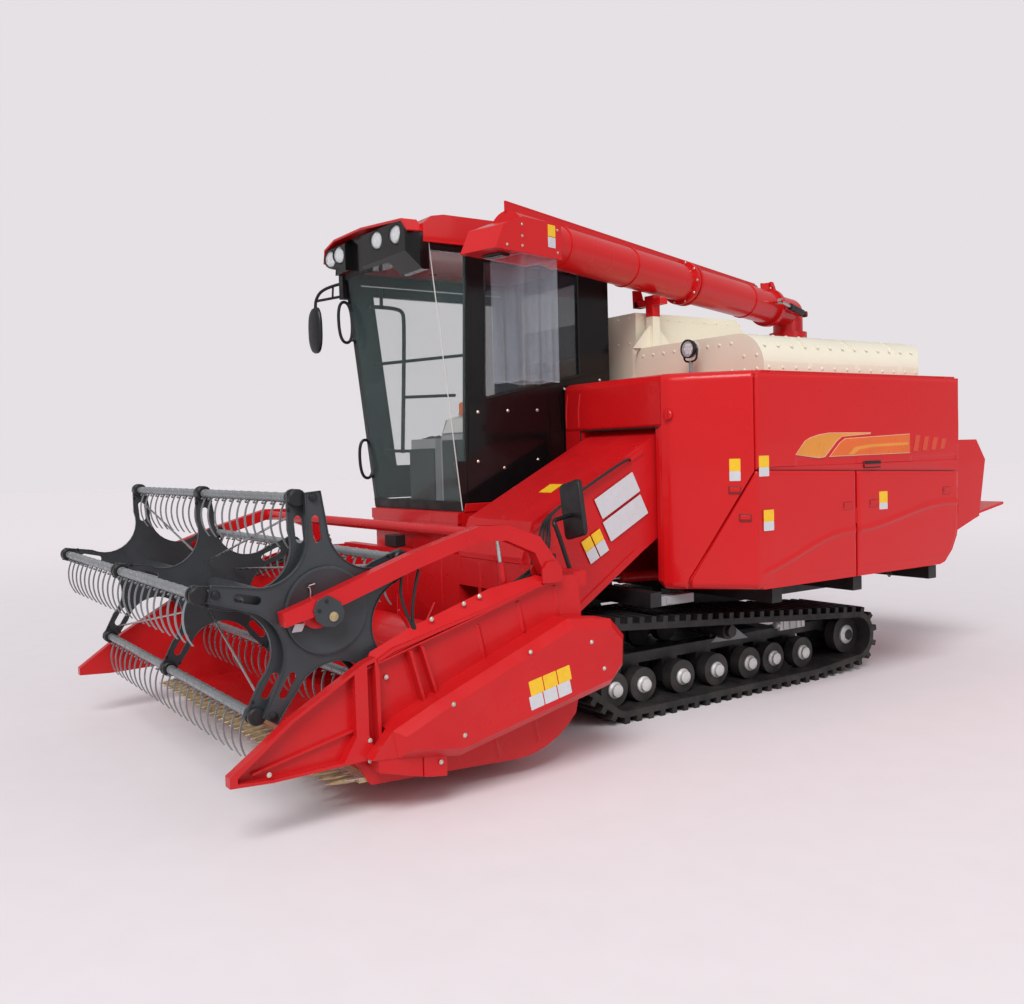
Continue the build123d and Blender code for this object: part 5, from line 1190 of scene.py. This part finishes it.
for name, look, z, high in (("chute_plates", "yellow", 1236, 56), ("chute_plate_feet", "white", 1184, 44)):
    plates = Shape()
    for y in (2062, 2138, 2212):
        plates.plate((1101, y, z - (y - 2062) * 0.05), (0, 1, 0), (0, 0, 1), 66, high, 1, 3)
    piece(plates, name, look)
piece(Shape().box((1099, 2150, 1296), (1108, 2200, 1350)).prism("x", rect(2030, 1440, 2250, 1452), 1098, 1106),
      "chute_trim", "red", bevel=3)

# Running gear: silver hub caps and their bolts
WHEEL_X, WHEEL_Z = 765, 164
caps, cap_bolts = Shape(), Shape()
for side in (-1, 1):
    for y in (-456, -249, 48, 320, 600, 812, 1081):
        caps.lathe((side * WHEEL_X, y, WHEEL_Z), (side, 0, 0), [(46, 0), (46, 8), (36, 16), (34, 30), (20, 34),
                   (6, 35)], 28)
        for k in range(4):
            t = math.pi / 4 + math.pi * k / 2
            cap_bolts.bolt((side * (WHEEL_X + 8), y + 38 * math.cos(t), WHEEL_Z + 38 * math.sin(t)), "x", 5, side)
    caps.lathe((side * WHEEL_X, 1505, 225), (side, 0, 0), [(60, 0), (60, 10), (44, 20), (24, 26)], 32)
    caps.lathe((side * 600, -580, 345), (side, 0, 0), [(70, 40), (70, 60), (50, 70), (20, 74)], 32)
    for k in range(6):
        t = math.pi * k / 3
        cap_bolts.bolt((side * 660, -580 + 52 * math.cos(t), 345 + 52 * math.sin(t)), "x", 7, side)
piece(caps, "hub_caps", "hub")
piece(cap_bolts, "hub_bolts", "zinc")

# Behind the side doors: steel pulley faces and two belts, RECESS being the recess's inner face
RECESS = 1135
pulley_faces, belts = Shape(), Shape()
for y, z, radius in ((420, 950, 170), (800, 1080, 90), (1180, 900, 130), (1650, 1010, 150)):
    pulley_faces.lathe((RECESS + 45, y, z), "x", [(radius - 26, 0), (radius - 26, 1.5), (30, 1.5), (30, 16),
                       (12, 18)], 40)
for ring, x0 in ((((420, 950, 172), (1180, 900, 132)), 28), (((800, 1080, 92), (1650, 1010, 152)), 38)):
    (ya, za, ra), (yb, zb, rb) = ring
    run = math.atan2(zb - za, yb - ya)
    lean = math.acos((ra - rb) / math.hypot(yb - ya, zb - za))
    path = []
    for y, z, radius, start, sweep in ((ya, za, ra, run + lean, math.tau - 2 * lean),
                                       (yb, zb, rb, run - lean, 2 * lean)):
        for k in range(21):
            t = start + k * sweep / 20
            path.append((RECESS + x0, y + radius * math.cos(t), z + radius * math.sin(t)))
    belts.tube(path, 6, 6, closed=True)
piece(pulley_faces, "pulley_faces", "steel")
piece(belts, "drive_belts", "seal")

# The rest under the unloading auger is red at its saddle and cream below
saddle = Shape()
saddle.box((21, 408, 2360), (259, 471, 2399.5))
saddle.box((116, 408, 2395), (199, 471, 2421))
saddle.box((126, 408, 2290), (189.5, 471, 2362))
saddle.prism("y", [(6, 2360), (60, 2360), (20, 2473.5), (1, 2473.5)], 408, 471)
piece(saddle, "rest_saddle", "red", bevel=2)

# Grey parts under the body: a casting and a gusset on the left track frame, a bracket behind the front outrigger
casting = Shape()
casting.box((659, 965, 302), (690, 1200, 368))
casting.lathe((676, 930, 340), "y", [(14, 0), (24, 6), (24, 36)], 16)
for y in (1000, 1060, 1120, 1170):
    casting.box((689, y - 6, 308), (697, y + 6, 362))
    casting.lathe((676, y, 366), "z", [(10, 0), (10, 14), (6, 18)], 10)
piece(casting, "frame_casting", "hub", bevel=3)
piece(Shape().prism("x", [(380, 300), (700, 290), (540, 402)], 659, 666), "frame_gusset", "grey", bevel=1.5)
piece(Shape().box((790, -191, 600), (856, 60, 652)).box((855, -150, 606), (862, -110, 646)), "outrigger_bracket",
      "grey", bevel=3)
